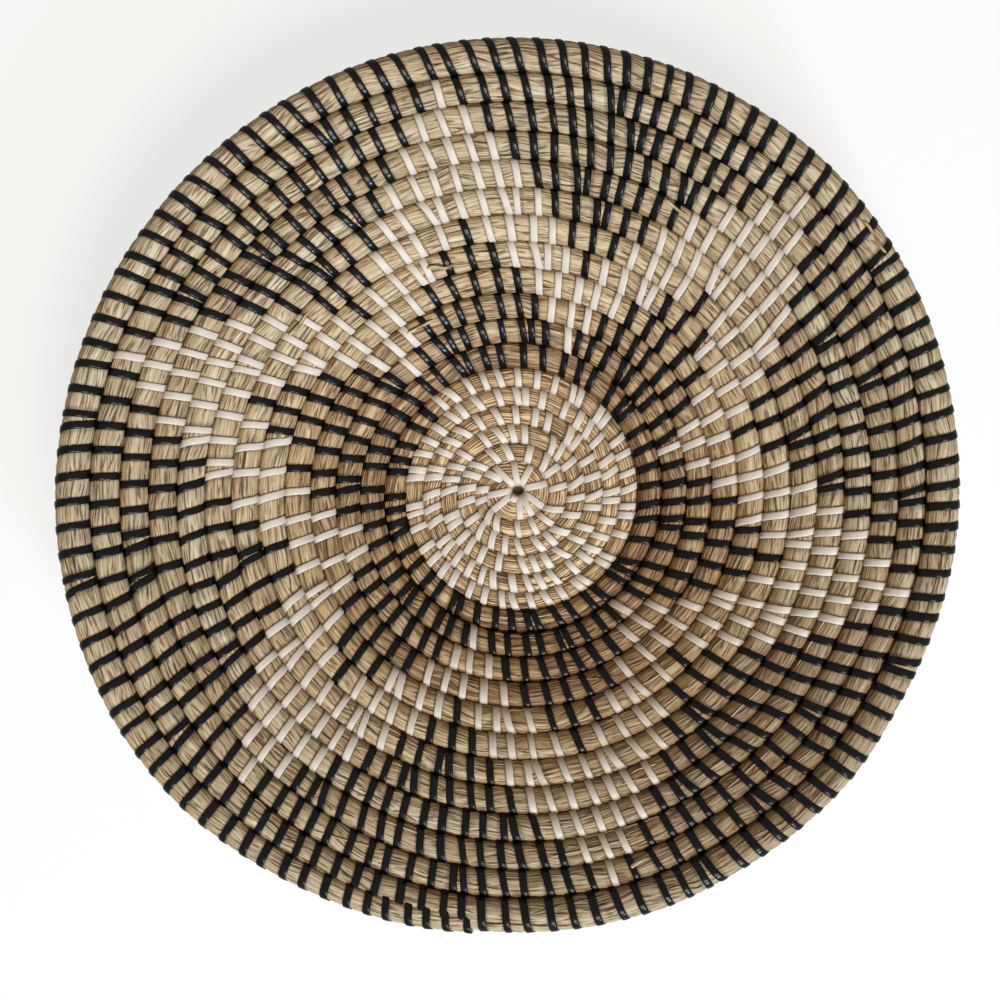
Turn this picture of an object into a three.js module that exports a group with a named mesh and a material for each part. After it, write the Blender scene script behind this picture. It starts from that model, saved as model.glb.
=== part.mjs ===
import * as THREE from 'three';

// A shallow coiled basket: one seagrass bundle wound in a spiral from the middle outward, and
// flat plastic strips wrapped round it, row by row, that sew each turn to the one before.
// Millimetres, +Z up. Turns are counted from the inner end of the bundle.

// The bundle, measured across the corners of its six-sided section.
const TURN_COUNT = 18 + 5 / 24;
const START_RADIUS = 5.0;
const START_ANGLE = THREE.MathUtils.degToRad(185);
const BASE_BUNDLE = 5.2;
const WALL_BUNDLE = 8.8;
const RIM_BUNDLE = 10.0;
const TIP_BUNDLE = 3.2;
const TIP_LENGTH = 178;

// Where along the bundle its size changes, in turns.
const BASE_TURNS = 5.864;
const WALL_SWELL_TURNS = 0.9;
const RIM_TURNS = 1.181;
const RIM_SWELL_TURNS = 0.25;

// The bowl's section: a flat base, a short bend up and a long wall that eases outward.
const BEND_RADIUS = 28;
const WALL_SLOPE = THREE.MathUtils.degToRad(29.5);
const RIM_SLOPE = THREE.MathUtils.degToRad(20);

// The strips.
const STRIP_WIDTH = 3.1;
const STRIP_THICKNESS = 0.5;
const CLEARANCE = 0.4;
const STRIP_SLANT = 2.8;
const BASE_WRAP_SPACING = 36;
const WALL_WRAP_SPACING = 74;
const LEAST_WRAPS = 3;
const WIDEST_SHARE_OF_SPACING = 0.36;
const LASHING_LENGTH = 17;
const LASHING_WRAPS = 4;
const LASHING_WIDTH = 2.4;
const LASHING_SLANT = 0.6;
const TIP_BARE_LENGTH = 3;

// How finely the bundle is stepped.
const STEPS_PER_TURN = 24;
const SIDES = 6;

const HALF_SIDE_ANGLE = Math.PI / SIDES;
const MITRE = 1 / Math.cos(HALF_SIDE_ANGLE);
const TURN_GAP = 2 * (CLEARANCE + STRIP_THICKNESS) * MITRE + CLEARANCE;
const LAST_STEP = Math.round(TURN_COUNT * STEPS_PER_TURN);
const RIM_START = TURN_COUNT - RIM_TURNS;

const SEAGRASS = new THREE.MeshStandardMaterial({ color: 0xa98d68, roughness: 0.8, metalness: 0 });
const WHITE_STRIP = new THREE.MeshStandardMaterial({ color: 0xe2dccf, roughness: 0.5, metalness: 0 });
const BLACK_STRIP = new THREE.MeshStandardMaterial({ color: 0x1d1c1c, roughness: 0.3, metalness: 0 });

const smoothStep = (from, to, value) => THREE.MathUtils.smoothstep(value, from, to);

// Half the bundle's width at a step: base, wall, rim, then a taper over the last stretch.
function halfBundle(step) {
  const turn = step / STEPS_PER_TURN;
  const wallShare = smoothStep(BASE_TURNS - WALL_SWELL_TURNS / 2, BASE_TURNS + WALL_SWELL_TURNS, turn);
  const rimShare = smoothStep(RIM_START - RIM_SWELL_TURNS, RIM_START + RIM_SWELL_TURNS, turn);
  const base = THREE.MathUtils.lerp(BASE_BUNDLE, WALL_BUNDLE, wallShare);
  const body = base + (RIM_BUNDLE - WALL_BUNDLE) * rimShare;
  const tipTurns = TIP_LENGTH / (2 * Math.PI * rimRadiusGuess());
  const tipShare = THREE.MathUtils.clamp((turn - TURN_COUNT + tipTurns) / tipTurns, 0, 1);
  return THREE.MathUtils.lerp(body, TIP_BUNDLE, tipShare * tipShare) / 2;
}

// The rim's radius before its exact value is known, from the rows that lie inside it.
function rimRadiusGuess() {
  const basePitch = BASE_BUNDLE + TURN_GAP;
  const wallPitch = (WALL_BUNDLE + TURN_GAP) * Math.cos((WALL_SLOPE + RIM_SLOPE) / 2);
  return START_RADIUS + basePitch * BASE_TURNS + wallPitch * (TURN_COUNT - BASE_TURNS);
}

// Distances along the bowl's section from its middle. Each turn lies beside the one before it,
// with room between them for a strip on each.
function measureSpiral() {
  const distances = [];
  const reach = (step) => halfBundle(step) + TURN_GAP / 2;
  const firstPitch = reach(0) + reach(STEPS_PER_TURN);
  for (let step = 0; step <= LAST_STEP; step += 1) {
    const below = step - STEPS_PER_TURN;
    const laid = below < 0
      ? START_RADIUS + (firstPitch * step) / STEPS_PER_TURN
      : distances[below] + reach(below) + reach(step);
    distances.push(laid);
  }
  return distances;
}

const distances = measureSpiral();
const bendStart = distances[Math.round(BASE_TURNS * STEPS_PER_TURN)];
const bendEnd = bendStart + BEND_RADIUS * WALL_SLOPE;
const flareRadius = (distances[LAST_STEP] - bendEnd) / (WALL_SLOPE - RIM_SLOPE);

// The bowl's section at a distance from its middle: radius, height and slope of the centre line.
function sectionAt(distance) {
  if (distance <= bendStart) {
    return { radius: distance, height: 0, slope: 0 };
  }
  if (distance <= bendEnd) {
    const slope = (distance - bendStart) / BEND_RADIUS;
    const radius = bendStart + BEND_RADIUS * Math.sin(slope);
    return { radius, height: BEND_RADIUS * (1 - Math.cos(slope)), slope };
  }
  const bend = sectionAt(bendEnd);
  const slope = WALL_SLOPE - (distance - bendEnd) / flareRadius;
  const radius = bend.radius + flareRadius * (Math.sin(WALL_SLOPE) - Math.sin(slope));
  const height = bend.height + flareRadius * (Math.cos(slope) - Math.cos(WALL_SLOPE));
  return { radius, height, slope };
}

// The frame of the bundle at a step: its centre, the way across the row and the way up from it.
// The lowest corner of the wrapped bundle lies on the bowl's section line.
function frameAt(step) {
  const { radius, height, slope } = sectionAt(distances[step]);
  const angle = START_ANGLE + (2 * Math.PI * step) / STEPS_PER_TURN;
  const half = halfBundle(step);
  const wrapped = half + (CLEARANCE + STRIP_THICKNESS) * MITRE;
  const lift = wrapped * Math.sin(2 * HALF_SIDE_ANGLE + slope);
  const outward = new THREE.Vector3(Math.cos(angle), Math.sin(angle), 0);
  const up = new THREE.Vector3(0, 0, 1);
  const mix = (alongOutward, alongUp) => (
    outward.clone().multiplyScalar(alongOutward).addScaledVector(up, alongUp)
  );
  return {
    centre: mix(radius, height + lift),
    across: mix(Math.cos(slope), Math.sin(slope)),
    above: mix(-Math.sin(slope), Math.cos(slope)),
    half,
    radius,
  };
}

const frames = Array.from({ length: LAST_STEP + 1 }, (_, step) => frameAt(step));

// A corner of the section at a step, moved out from the bundle's faces by an offset.
function cornerPoint(step, corner, offset) {
  const frame = frames[step];
  const reach = frame.half + offset * MITRE;
  const turned = (2 * Math.PI * corner) / SIDES;
  return frame.centre.clone()
    .addScaledVector(frame.across, reach * Math.cos(turned))
    .addScaledVector(frame.above, reach * Math.sin(turned));
}

// A point on the bundle's faceted skin: steps along it, corners round it, and an offset out.
function skinPoint(along, round, offset) {
  const step = Math.min(Math.floor(along), LAST_STEP - 1);
  const corner = Math.floor(round);
  const share = round - corner;
  const near = cornerPoint(step, corner, offset).lerp(cornerPoint(step, corner + 1, offset), share);
  const far = cornerPoint(step + 1, corner, offset).lerp(cornerPoint(step + 1, corner + 1, offset), share);
  return near.lerp(far, along - step);
}

function meshFrom(name, points, triangles, material) {
  const geometry = new THREE.BufferGeometry();
  geometry.setFromPoints(points);
  geometry.setIndex(triangles.flat());
  geometry.computeVertexNormals();
  const mesh = new THREE.Mesh(geometry, material);
  mesh.name = name;
  return mesh;
}

function makeCoil() {
  const points = [];
  const triangles = [];
  const index = (step, corner) => step * SIDES + (corner % SIDES);
  for (let step = 0; step <= LAST_STEP; step += 1) {
    for (let corner = 0; corner < SIDES; corner += 1) {
      points.push(cornerPoint(step, corner, 0));
    }
  }
  for (let step = 0; step < LAST_STEP; step += 1) {
    for (let corner = 0; corner < SIDES; corner += 1) {
      const [a, b] = [index(step, corner), index(step + 1, corner)];
      const [c, d] = [index(step + 1, corner + 1), index(step, corner + 1)];
      triangles.push([a, b, c], [a, c, d]);
    }
  }
  for (let corner = 1; corner < SIDES - 1; corner += 1) {
    triangles.push([index(0, 0), index(0, corner), index(0, corner + 1)]);
    triangles.push([index(LAST_STEP, 0), index(LAST_STEP, corner + 1), index(LAST_STEP, corner)]);
  }
  return meshFrom('seagrass_coil', points, triangles, SEAGRASS);
}

// Cuts a flat polygon in two along the line where one of its coordinates has a value.
function splitPolygon(polygon, axis, value) {
  const low = [];
  const high = [];
  polygon.forEach((point, at) => {
    const next = polygon[(at + 1) % polygon.length];
    const [here, there] = [point[axis] - value, next[axis] - value];
    if (here <= 0) {
      low.push(point);
    }
    if (here >= 0) {
      high.push(point);
    }
    if (here * there < 0) {
      const share = here / (here - there);
      const cut = [0, 1].map((k) => point[k] + (next[k] - point[k]) * share);
      cut[axis] = value;
      low.push(cut);
      high.push(cut);
    }
  });
  return [low, high].filter((part) => part.length > 2);
}

// Cuts polygons at every whole step and corner between their least and greatest coordinates.
function cutAtEdges(polygons, axis) {
  return polygons.flatMap((polygon) => {
    const values = polygon.map((point) => point[axis]);
    const done = [];
    let rest = polygon;
    for (let value = Math.floor(Math.min(...values)) + 1; value < Math.max(...values); value += 1) {
      const [low, high] = splitPolygon(rest, axis, value);
      done.push(low);
      rest = high;
    }
    return [...done, rest];
  });
}

// A flat strip lying on the bundle's skin. Its outline comes as polygons, each counter-clockwise
// in steps along the bundle and corners round it.
function makeSkinStrip(name, outline, material) {
  const cells = cutAtEdges(cutAtEdges(outline, 1), 0);
  const numbers = new Map();
  const points = [];
  const pointNumber = ([along, round]) => {
    const key = `${along.toFixed(5)} ${round.toFixed(5)}`;
    if (!numbers.has(key)) {
      numbers.set(key, points.length);
      points.push(skinPoint(along, round, CLEARANCE));
      points.push(skinPoint(along, round, CLEARANCE + STRIP_THICKNESS));
    }
    return numbers.get(key);
  };
  const triangles = [];
  const openEdges = new Map();
  for (const cell of cells) {
    const ring = cell.map(pointNumber);
    for (let k = 1; k < ring.length - 1; k += 1) {
      triangles.push([ring[0] + 1, ring[k] + 1, ring[k + 1] + 1], [ring[0], ring[k + 1], ring[k]]);
    }
    ring.forEach((from, at) => {
      const to = ring[(at + 1) % ring.length];
      if (!openEdges.delete(`${to} ${from}`)) {
        openEdges.set(`${from} ${to}`, [from, to]);
      }
    });
  }
  for (const [from, to] of openEdges.values()) {
    triangles.push([to + 1, from + 1, from], [to + 1, from, to]);
  }
  return meshFrom(name, points, triangles, material);
}

// One strip wound round the bundle. Over the row it leans a little; under it, it runs on to the
// next wrap.
function makeWoundStrip(name, start, end, wraps, width, slant, material) {
  const middle = frames[Math.round((start + end) / 2)];
  const stepLength = (2 * Math.PI * middle.radius) / STEPS_PER_TURN;
  const half = width / 2 / stepLength;
  const lean = slant / stepLength;
  const pitch = (end - start) / wraps;
  const outline = [];
  for (let wrap = 0; wrap < wraps; wrap += 1) {
    const over = start + half + pitch * wrap;
    const under = over + lean;
    const next = over + pitch;
    const top = SIDES / 2 - SIDES * wrap;
    const side = top - SIDES / 2;
    const bottom = side - SIDES / 2;
    outline.push([[over - half, top], [under - half, side], [under + half, side], [over + half, top]]);
    if (wrap < wraps - 1) {
      const landing = [[next - half, bottom], [next + half, bottom]];
      outline.push([[under - half, side], ...landing, [under + half, side]]);
    }
  }
  return makeSkinStrip(name, outline, material);
}

// The strip of one row, between two places on the bundle given in turns. Near the middle, where
// its wraps are close, it is narrower.
function makeRowStrip(name, startTurn, endTurn, spacing, material) {
  const start = startTurn * STEPS_PER_TURN;
  const end = endTurn * STEPS_PER_TURN;
  const length = (endTurn - startTurn) * 2 * Math.PI * frames[Math.round((start + end) / 2)].radius;
  const wraps = Math.max(LEAST_WRAPS, Math.round(length / spacing));
  const width = Math.min(STRIP_WIDTH, (WIDEST_SHARE_OF_SPACING * length) / wraps);
  return makeWoundStrip(name, start, end, wraps, width, Math.min(STRIP_SLANT, width), material);
}

function makeStrips() {
  const strips = [];
  const rowName = (kind) => `${kind}_row_${String(strips.length + 1).padStart(2, '0')}`;
  for (let turn = BASE_TURNS % 1; turn <= BASE_TURNS; turn += 1) {
    const from = Math.max(turn - 1, 0);
    strips.push(makeRowStrip(rowName('white_strip'), from, turn, BASE_WRAP_SPACING, WHITE_STRIP));
  }
  const patternRows = Math.floor(RIM_START - BASE_TURNS);
  for (let row = patternRows; row > 0; row -= 1) {
    const to = RIM_START - row + 1;
    const from = row === patternRows ? BASE_TURNS : to - 1;
    const kind = row === patternRows ? 'black_strip' : 'patterned_strip';
    const material = row === patternRows ? BLACK_STRIP : WHITE_STRIP;
    strips.push(makeRowStrip(rowName(kind), from, to, WALL_WRAP_SPACING, material));
  }
  return strips;
}

function makeRimStrips() {
  const stepsPerLength = STEPS_PER_TURN / (2 * Math.PI * frames[LAST_STEP].radius);
  const lashingEnd = LAST_STEP - TIP_BARE_LENGTH * stepsPerLength;
  const lashingStart = lashingEnd - LASHING_LENGTH * stepsPerLength;
  const rimStrip = makeRowStrip(
    'rim_strip', RIM_START, lashingStart / STEPS_PER_TURN, WALL_WRAP_SPACING, BLACK_STRIP,
  );
  const lashing = makeWoundStrip(
    'rim_end_lashing', lashingStart, lashingEnd, LASHING_WRAPS, LASHING_WIDTH, LASHING_SLANT, BLACK_STRIP,
  );
  return [rimStrip, lashing];
}

// The least gap between one turn of the bundle and the next, from the corners and the middles of
// the edges at each step to the faces of the turn outside it.
function leastTurnGap() {
  const samples = (step) => {
    const found = [];
    for (let corner = 0; corner < SIDES; corner += 0.5) {
      found.push(skinPoint(step, corner, 0), skinPoint(Math.min(step + 0.5, LAST_STEP), corner, 0));
    }
    return found;
  };
  const triangle = new THREE.Triangle();
  const nearest = new THREE.Vector3();
  let least = Infinity;
  for (let step = 0; step + STEPS_PER_TURN / 2 < LAST_STEP; step += 1) {
    const points = samples(step);
    const from = step + STEPS_PER_TURN / 2;
    const to = Math.min(step + (3 * STEPS_PER_TURN) / 2, LAST_STEP);
    for (let other = from; other < to; other += 1) {
      for (let corner = 0; corner < SIDES; corner += 1) {
        const [a, b] = [cornerPoint(other, corner, 0), cornerPoint(other + 1, corner, 0)];
        const [c, d] = [cornerPoint(other + 1, corner + 1, 0), cornerPoint(other, corner + 1, 0)];
        for (const face of [[a, b, c], [a, c, d]]) {
          triangle.set(...face);
          for (const point of points) {
            triangle.closestPointToPoint(point, nearest);
            least = Math.min(least, point.distanceTo(nearest));
          }
        }
      }
    }
  }
  return least;
}

const group = new THREE.Group();
group.add(makeCoil(), ...makeStrips(), ...makeRimStrips());

// The origin is under the middle of the basket's box, on the surface that it stands on.
const box = new THREE.Box3().setFromObject(group);
const middle = box.getCenter(new THREE.Vector3());
group.position.set(-middle.x, -middle.y, -box.min.z);
group.updateMatrixWorld(true);

const size = box.getSize(new THREE.Vector3());
console.log(`least gap between turns ${leastTurnGap().toFixed(2)} mm`);
console.log(`overall ${size.x.toFixed(1)} x ${size.y.toFixed(1)} x ${size.z.toFixed(1)} mm`);

export default group;
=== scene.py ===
"""A shallow coiled seagrass basket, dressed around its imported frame.

One bundle of grass stalks winds outward in a spiral. Flat plastic strips, white in the base, black
and white in a six-pointed star band on the wall and black at the rim, wrap it and sew the rows
together. Shapes are worked out in millimetres about the coil's own middle and turned to metres in
the frame when a mesh is made.
"""

from __future__ import annotations

import logging
import math
from dataclasses import dataclass, field
from enum import Enum
from typing import NamedTuple

import bpy
import numpy as np
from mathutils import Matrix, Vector

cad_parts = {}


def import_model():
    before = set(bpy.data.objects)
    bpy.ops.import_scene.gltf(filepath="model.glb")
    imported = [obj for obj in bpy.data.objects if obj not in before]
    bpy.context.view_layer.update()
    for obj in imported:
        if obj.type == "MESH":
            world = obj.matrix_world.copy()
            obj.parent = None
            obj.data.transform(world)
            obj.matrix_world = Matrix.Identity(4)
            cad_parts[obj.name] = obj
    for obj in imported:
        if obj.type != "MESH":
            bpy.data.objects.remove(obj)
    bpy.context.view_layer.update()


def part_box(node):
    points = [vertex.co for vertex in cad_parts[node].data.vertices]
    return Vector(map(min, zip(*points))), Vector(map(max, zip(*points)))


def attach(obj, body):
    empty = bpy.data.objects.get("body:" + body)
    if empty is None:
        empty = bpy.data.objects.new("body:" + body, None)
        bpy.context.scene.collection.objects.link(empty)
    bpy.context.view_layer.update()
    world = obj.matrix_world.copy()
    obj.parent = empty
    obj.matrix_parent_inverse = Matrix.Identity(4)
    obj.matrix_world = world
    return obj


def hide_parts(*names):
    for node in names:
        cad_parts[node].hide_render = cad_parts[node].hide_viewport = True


LOG = logging.getLogger("basket")
MM = 0.001
SEED = 1170

# The rows that are black all round, counted from 1 at the middle. The end's lashing counts as one more.
BLACK_ROW = 7
RIM_ROW = 18

Array = np.ndarray
Pair = tuple[float, float]
Triple = tuple[float, float, float]
Socket = bpy.types.NodeSocket
Colour = Triple | Socket


class StripColour(Enum):
    """The two colours of plastic strip."""

    WHITE = "white_strip"
    BLACK = "black_strip"


class CoilSizes(NamedTuple):
    """The coil's driving sizes, as the solid part has them.

    Lengths are in millimetres, the start's angle is in degrees and the slopes are in radians.
    """

    turn_count: float = 18 + 5 / 24
    start_radius: float = 5.0
    start_angle: float = 185.0
    base_bundle: float = 5.2
    wall_bundle: float = 8.8
    rim_bundle: float = 10.0
    tip_bundle: float = 3.2
    tip_length: float = 178.0
    base_turns: float = 5.864
    wall_swell_turns: float = 0.9
    rim_turns: float = 1.181
    rim_swell_turns: float = 0.25
    bend_radius: float = 28.0
    wall_slope: float = math.radians(29.5)
    rim_slope: float = math.radians(20)
    strip_thickness: float = 0.5
    clearance: float = 0.4
    steps_per_turn: int = 24


def smooth_step(low: float, high: float, value: Array) -> Array:
    """A smooth rise from 0 at low to 1 at high: 3 t squared less 2 t cubed."""
    share = np.clip((value - low) / (high - low), 0.0, 1.0)
    return share * share * (3.0 - 2.0 * share)


def mix(first: Array, second: Array, share: Array) -> Array:
    """The value that lies the given share of the way from first to second."""
    return first + (second - first) * share


def smooth_noise(rng: np.random.Generator, place: Array, knot: float, columns: int) -> Array:
    """Independent smooth noise for several columns along one line.

    Random values from -1 to 1 stand a knot apart, and a smooth step joins each to the next.

    Args:
        rng: The source of random values.
        place: Where along the line each sample lies.
        knot: The distance from one random value to the next.
        columns: How many independent columns to make.

    Returns:
        An array with one row for each place and one column for each column asked for.
    """
    first = place.min()
    count = int((place.max() - first) / knot) + 3
    values = rng.uniform(-1.0, 1.0, (count, columns))
    at = (place - first) / knot
    low = np.floor(at).astype(int)
    return mix(values[low], values[low + 1], smooth_step(0.0, 1.0, at - low)[:, None])


def led_around(pairs: tuple[Pair, ...], degrees: Array) -> Array:
    """The value at each angle, led smoothly from one given pair of angle and value to the next.

    Args:
        pairs: The pairs, in the order of their angles in degrees.
        degrees: The angles asked for.

    Returns:
        A value for each angle.
    """
    known = np.array(pairs)
    places = np.concatenate([known[:, 0], known[:1, 0] + 360.0])
    values = np.concatenate([known[:, 1], known[:1, 1]])
    at = (degrees - places[0]) % 360.0 + places[0]
    low = np.clip(np.searchsorted(places, at, side="right") - 1, 0, len(known) - 1)
    share = smooth_step(0.0, 1.0, (at - places[low]) / (places[low + 1] - places[low]))
    return mix(values[low], values[low + 1], share)


class Frames(NamedTuple):
    """Places on a row's middle line with their directions, one row for each place."""

    centre: Array
    across: Array
    above: Array


@dataclass
class CoilPath:
    """The spiral that the bundle follows, from before its first turn to its tip.

    Distances are measured along the bowl's section from its middle. Each turn lies beside the one
    before it, so its distance is that of the turn before plus the reach of both.
    """

    sizes: CoilSizes = CoilSizes()
    samples_per_turn: int = 720
    lead_in: float = 0.3
    longer_end: float = 0.0106
    distance: Array = field(init=False)
    turns: Array = field(init=False)
    bend_start: float = field(init=False)
    bend_end: float = field(init=False)
    flare_radius: float = field(init=False)

    def __post_init__(self) -> None:
        """Measures the spiral turn by turn and fits the bowl's section to its length."""
        sizes = self.sizes
        count = int(round(sizes.turn_count * self.samples_per_turn)) + 1
        turns = np.arange(count) / self.samples_per_turn
        reach = self.half_bundle(turns) + self.turn_gap / 2
        ring = self.samples_per_turn
        distance = np.empty(count)
        distance[:ring] = sizes.start_radius + (reach[0] + reach[ring]) * turns[:ring]
        for start in range(ring, count, ring):
            end = min(start + ring, count)
            below = slice(start - ring, end - ring)
            distance[start:end] = distance[below] + reach[below] + reach[start:end]
        self.turns = turns
        self.distance = distance
        self.bend_start = float(self.distance_at(np.array(sizes.base_turns)))
        self.bend_end = self.bend_start + sizes.bend_radius * sizes.wall_slope
        self.flare_radius = (distance[-1] - self.bend_end) / (sizes.wall_slope - sizes.rim_slope)

    @property
    def end(self) -> float:
        """The turn where the grass ends, a little past the solid bundle's tip."""
        return self.sizes.turn_count + self.longer_end

    @property
    def mitre(self) -> float:
        """How much further a corner of the six-sided section lies than the middle of a side."""
        return 1.0 / math.cos(math.pi / 6)

    @property
    def turn_gap(self) -> float:
        """The gap between turns of the solid bundle, with room for a strip on each."""
        return 2 * (self.sizes.clearance + self.sizes.strip_thickness) * self.mitre + self.sizes.clearance

    def rim_radius_guess(self) -> float:
        """Adds up the rows that lie inside the rim, as seen from above.

        Returns:
            The rim's radius, near enough to set the length of the taper.
        """
        sizes = self.sizes
        base_pitch = sizes.base_bundle + self.turn_gap
        mean_slope = (sizes.wall_slope + sizes.rim_slope) / 2
        wall_pitch = (sizes.wall_bundle + self.turn_gap) * math.cos(mean_slope)
        rows = sizes.turn_count - sizes.base_turns
        return sizes.start_radius + base_pitch * sizes.base_turns + wall_pitch * rows

    def half_bundle(self, turns: Array) -> Array:
        """Half the solid bundle's width: base, wall, rim, then a taper over the last stretch.

        Args:
            turns: The turns.

        Returns:
            A half-width for each turn.
        """
        sizes = self.sizes
        rim_start = sizes.turn_count - sizes.rim_turns
        wall_from = sizes.base_turns - sizes.wall_swell_turns / 2
        wall_share = smooth_step(wall_from, sizes.base_turns + sizes.wall_swell_turns, turns)
        rim_share = smooth_step(rim_start - sizes.rim_swell_turns, rim_start + sizes.rim_swell_turns, turns)
        body = mix(sizes.base_bundle, sizes.wall_bundle, wall_share)
        body = body + (sizes.rim_bundle - sizes.wall_bundle) * rim_share
        tip_turns = sizes.tip_length / (2 * math.pi * self.rim_radius_guess())
        tip_share = np.clip((turns - sizes.turn_count + tip_turns) / tip_turns, 0.0, 1.0)
        return mix(body, sizes.tip_bundle, tip_share * tip_share) / 2

    def distance_at(self, turns: Array) -> Array:
        """The distance from the middle at any turn, carried on in a straight line before the first.

        Args:
            turns: The turns.

        Returns:
            A distance along the section for each turn.
        """
        pitch = self.distance[self.samples_per_turn] - self.distance[0]
        inside = np.interp(turns, self.turns, self.distance)
        return np.where(turns < 0, self.distance[0] + pitch * turns, inside)

    def section(self, distance: Array) -> tuple[Array, Array, Array]:
        """The bowl's section: a flat base, an arc up, and a long arc that eases outward.

        Args:
            distance: Distances along the section from the middle.

        Returns:
            The radius, the height and the slope of the section line at each distance.
        """
        sizes = self.sizes
        bend = np.clip((distance - self.bend_start) / sizes.bend_radius, 0.0, sizes.wall_slope)
        flare = np.clip((distance - self.bend_end) / self.flare_radius, 0.0, None)
        slope = bend - flare
        radius = np.minimum(distance, self.bend_start) + sizes.bend_radius * np.sin(bend)
        height = sizes.bend_radius * (1 - np.cos(bend))
        wall = np.where(flare > 0, slope, sizes.wall_slope)
        radius = radius + self.flare_radius * (math.sin(sizes.wall_slope) - np.sin(wall))
        height = height + self.flare_radius * (np.cos(wall) - math.cos(sizes.wall_slope))
        return radius, height, slope

    def radius_at(self, turns: Array) -> Array:
        """The radius of the centre line at any turn."""
        return self.section(self.distance_at(turns))[0]

    def angle_at(self, turns: Array) -> Array:
        """The angle of any turn about the middle, in radians."""
        return math.radians(self.sizes.start_angle) + 2 * math.pi * turns

    def frames(self, turns: Array, distance: Array | None = None) -> Frames:
        """A row's middle line at each turn, with the ways across the row and up from it.

        The wrapped section's lowest corner lies on the bowl's section line.

        Args:
            turns: The turns.
            distance: The distances from the middle, where they aren't those of the solid bundle.

        Returns:
            The places and directions.
        """
        sizes = self.sizes
        radius, height, slope = self.section(self.distance_at(turns) if distance is None else distance)
        wrapped = self.half_bundle(turns) + (sizes.clearance + sizes.strip_thickness) * self.mitre
        lift = wrapped * np.sin(math.pi / 3 + slope)
        angle = self.angle_at(turns)
        outward = np.stack([np.cos(angle), np.sin(angle), np.zeros_like(angle)], axis=-1)
        up = np.array([0.0, 0.0, 1.0])
        centre = outward * radius[..., None] + up * (height + lift)[..., None]
        across = outward * np.cos(slope)[..., None] + up * np.sin(slope)[..., None]
        above = up * np.cos(slope)[..., None] - outward * np.sin(slope)[..., None]
        return Frames(centre, across, above)

    def solid_corner_box(self) -> tuple[Array, Array]:
        """Finds how far the solid bundle's outer corners reach, at its whole steps and from above.

        Returns:
            The low and the high corner of their box.
        """
        sizes = self.sizes
        steps = np.arange(round(sizes.turn_count * sizes.steps_per_turn) + 1)
        turns = steps / sizes.steps_per_turn
        frames = self.frames(turns)
        corners = frames.centre + frames.across * self.half_bundle(turns)[:, None]
        return corners[:, :2].min(axis=0), corners[:, :2].max(axis=0)


def find_axis(path: CoilPath) -> Array:
    """Finds where the coil's middle lies in the frame, from the box of the solid bundle.

    Args:
        path: The spiral.

    Returns:
        The place in metres, on the ground.
    """
    low, high = path.solid_corner_box()
    frame_low, frame_high = (np.array(corner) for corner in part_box("seagrass_coil"))
    shift = (frame_low + frame_high)[:2] / 2 - (low + high) / 2 * MM
    return np.array([shift[0], shift[1], 0.0])


@dataclass
class Stitches:
    """Every wrap of strip in order along the bundle.

    A wrap starts at the inner side of its row at the turn entry, crosses over the row to its outer
    side at the turn exit, and runs on beneath the row to the next entry.
    """

    entry: Array
    exit: Array
    row: Array
    white: Array
    width: Array
    far: int = 40

    @property
    def count(self) -> int:
        """How many wraps there are."""
        return len(self.entry)

    def phase_at(self, turns: Array) -> Array:
        """The running number of the wrap at each turn, carried on at the same rate past both ends."""
        known, numbers = self.carried_on((self.entry + self.exit) / 2)
        return np.interp(turns, known, numbers)

    def entry_at(self, phase: Array) -> Array:
        """The turn at the inner side of the row for each running number of wraps."""
        known, numbers = self.carried_on(self.entry)
        return np.interp(phase, numbers, known)

    def exit_at(self, phase: Array) -> Array:
        """The turn at the outer side of the row for each running number of wraps."""
        known, numbers = self.carried_on(self.exit)
        return np.interp(phase, numbers, known)

    def turns_at(self, phase: Array, angle: Array, comma: float) -> Array:
        """The turn of a point on the line that a wrap would follow over the row.

        Beneath the row the line runs straight back from the exit to the entry.

        Args:
            phase: The running number of the wrap, which may lie between two wraps.
            angle: The angle round the bundle, 0 outward and a quarter turn up.
            comma: How strongly the line bends: 1 is straight.

        Returns:
            The turns.
        """
        over = np.clip(1 - angle / math.pi, 0.0, 1.0) ** comma
        share = np.where(angle >= 0, over, 1 + angle / math.pi)
        return mix(self.entry_at(phase), self.exit_at(phase), share)

    def spacing_at(self, phase: Array) -> Array:
        """The distance in turns from one wrap to the next."""
        return np.interp(phase, np.arange(self.count), np.gradient(self.entry))

    def carried_on(self, places: Array) -> tuple[Array, Array]:
        """Adds a place far before the first one and far after the last, at the same rate.

        Args:
            places: The turn of each wrap.

        Returns:
            The places and their running numbers.
        """
        first = places[0] - (places[1] - places[0]) * self.far
        last = places[-1] + (places[-1] - places[-2]) * self.far
        numbers = np.concatenate([[-self.far], np.arange(self.count), [self.count - 1 + self.far]])
        return np.concatenate([[first], places, [last]]), numbers.astype(float)


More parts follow.
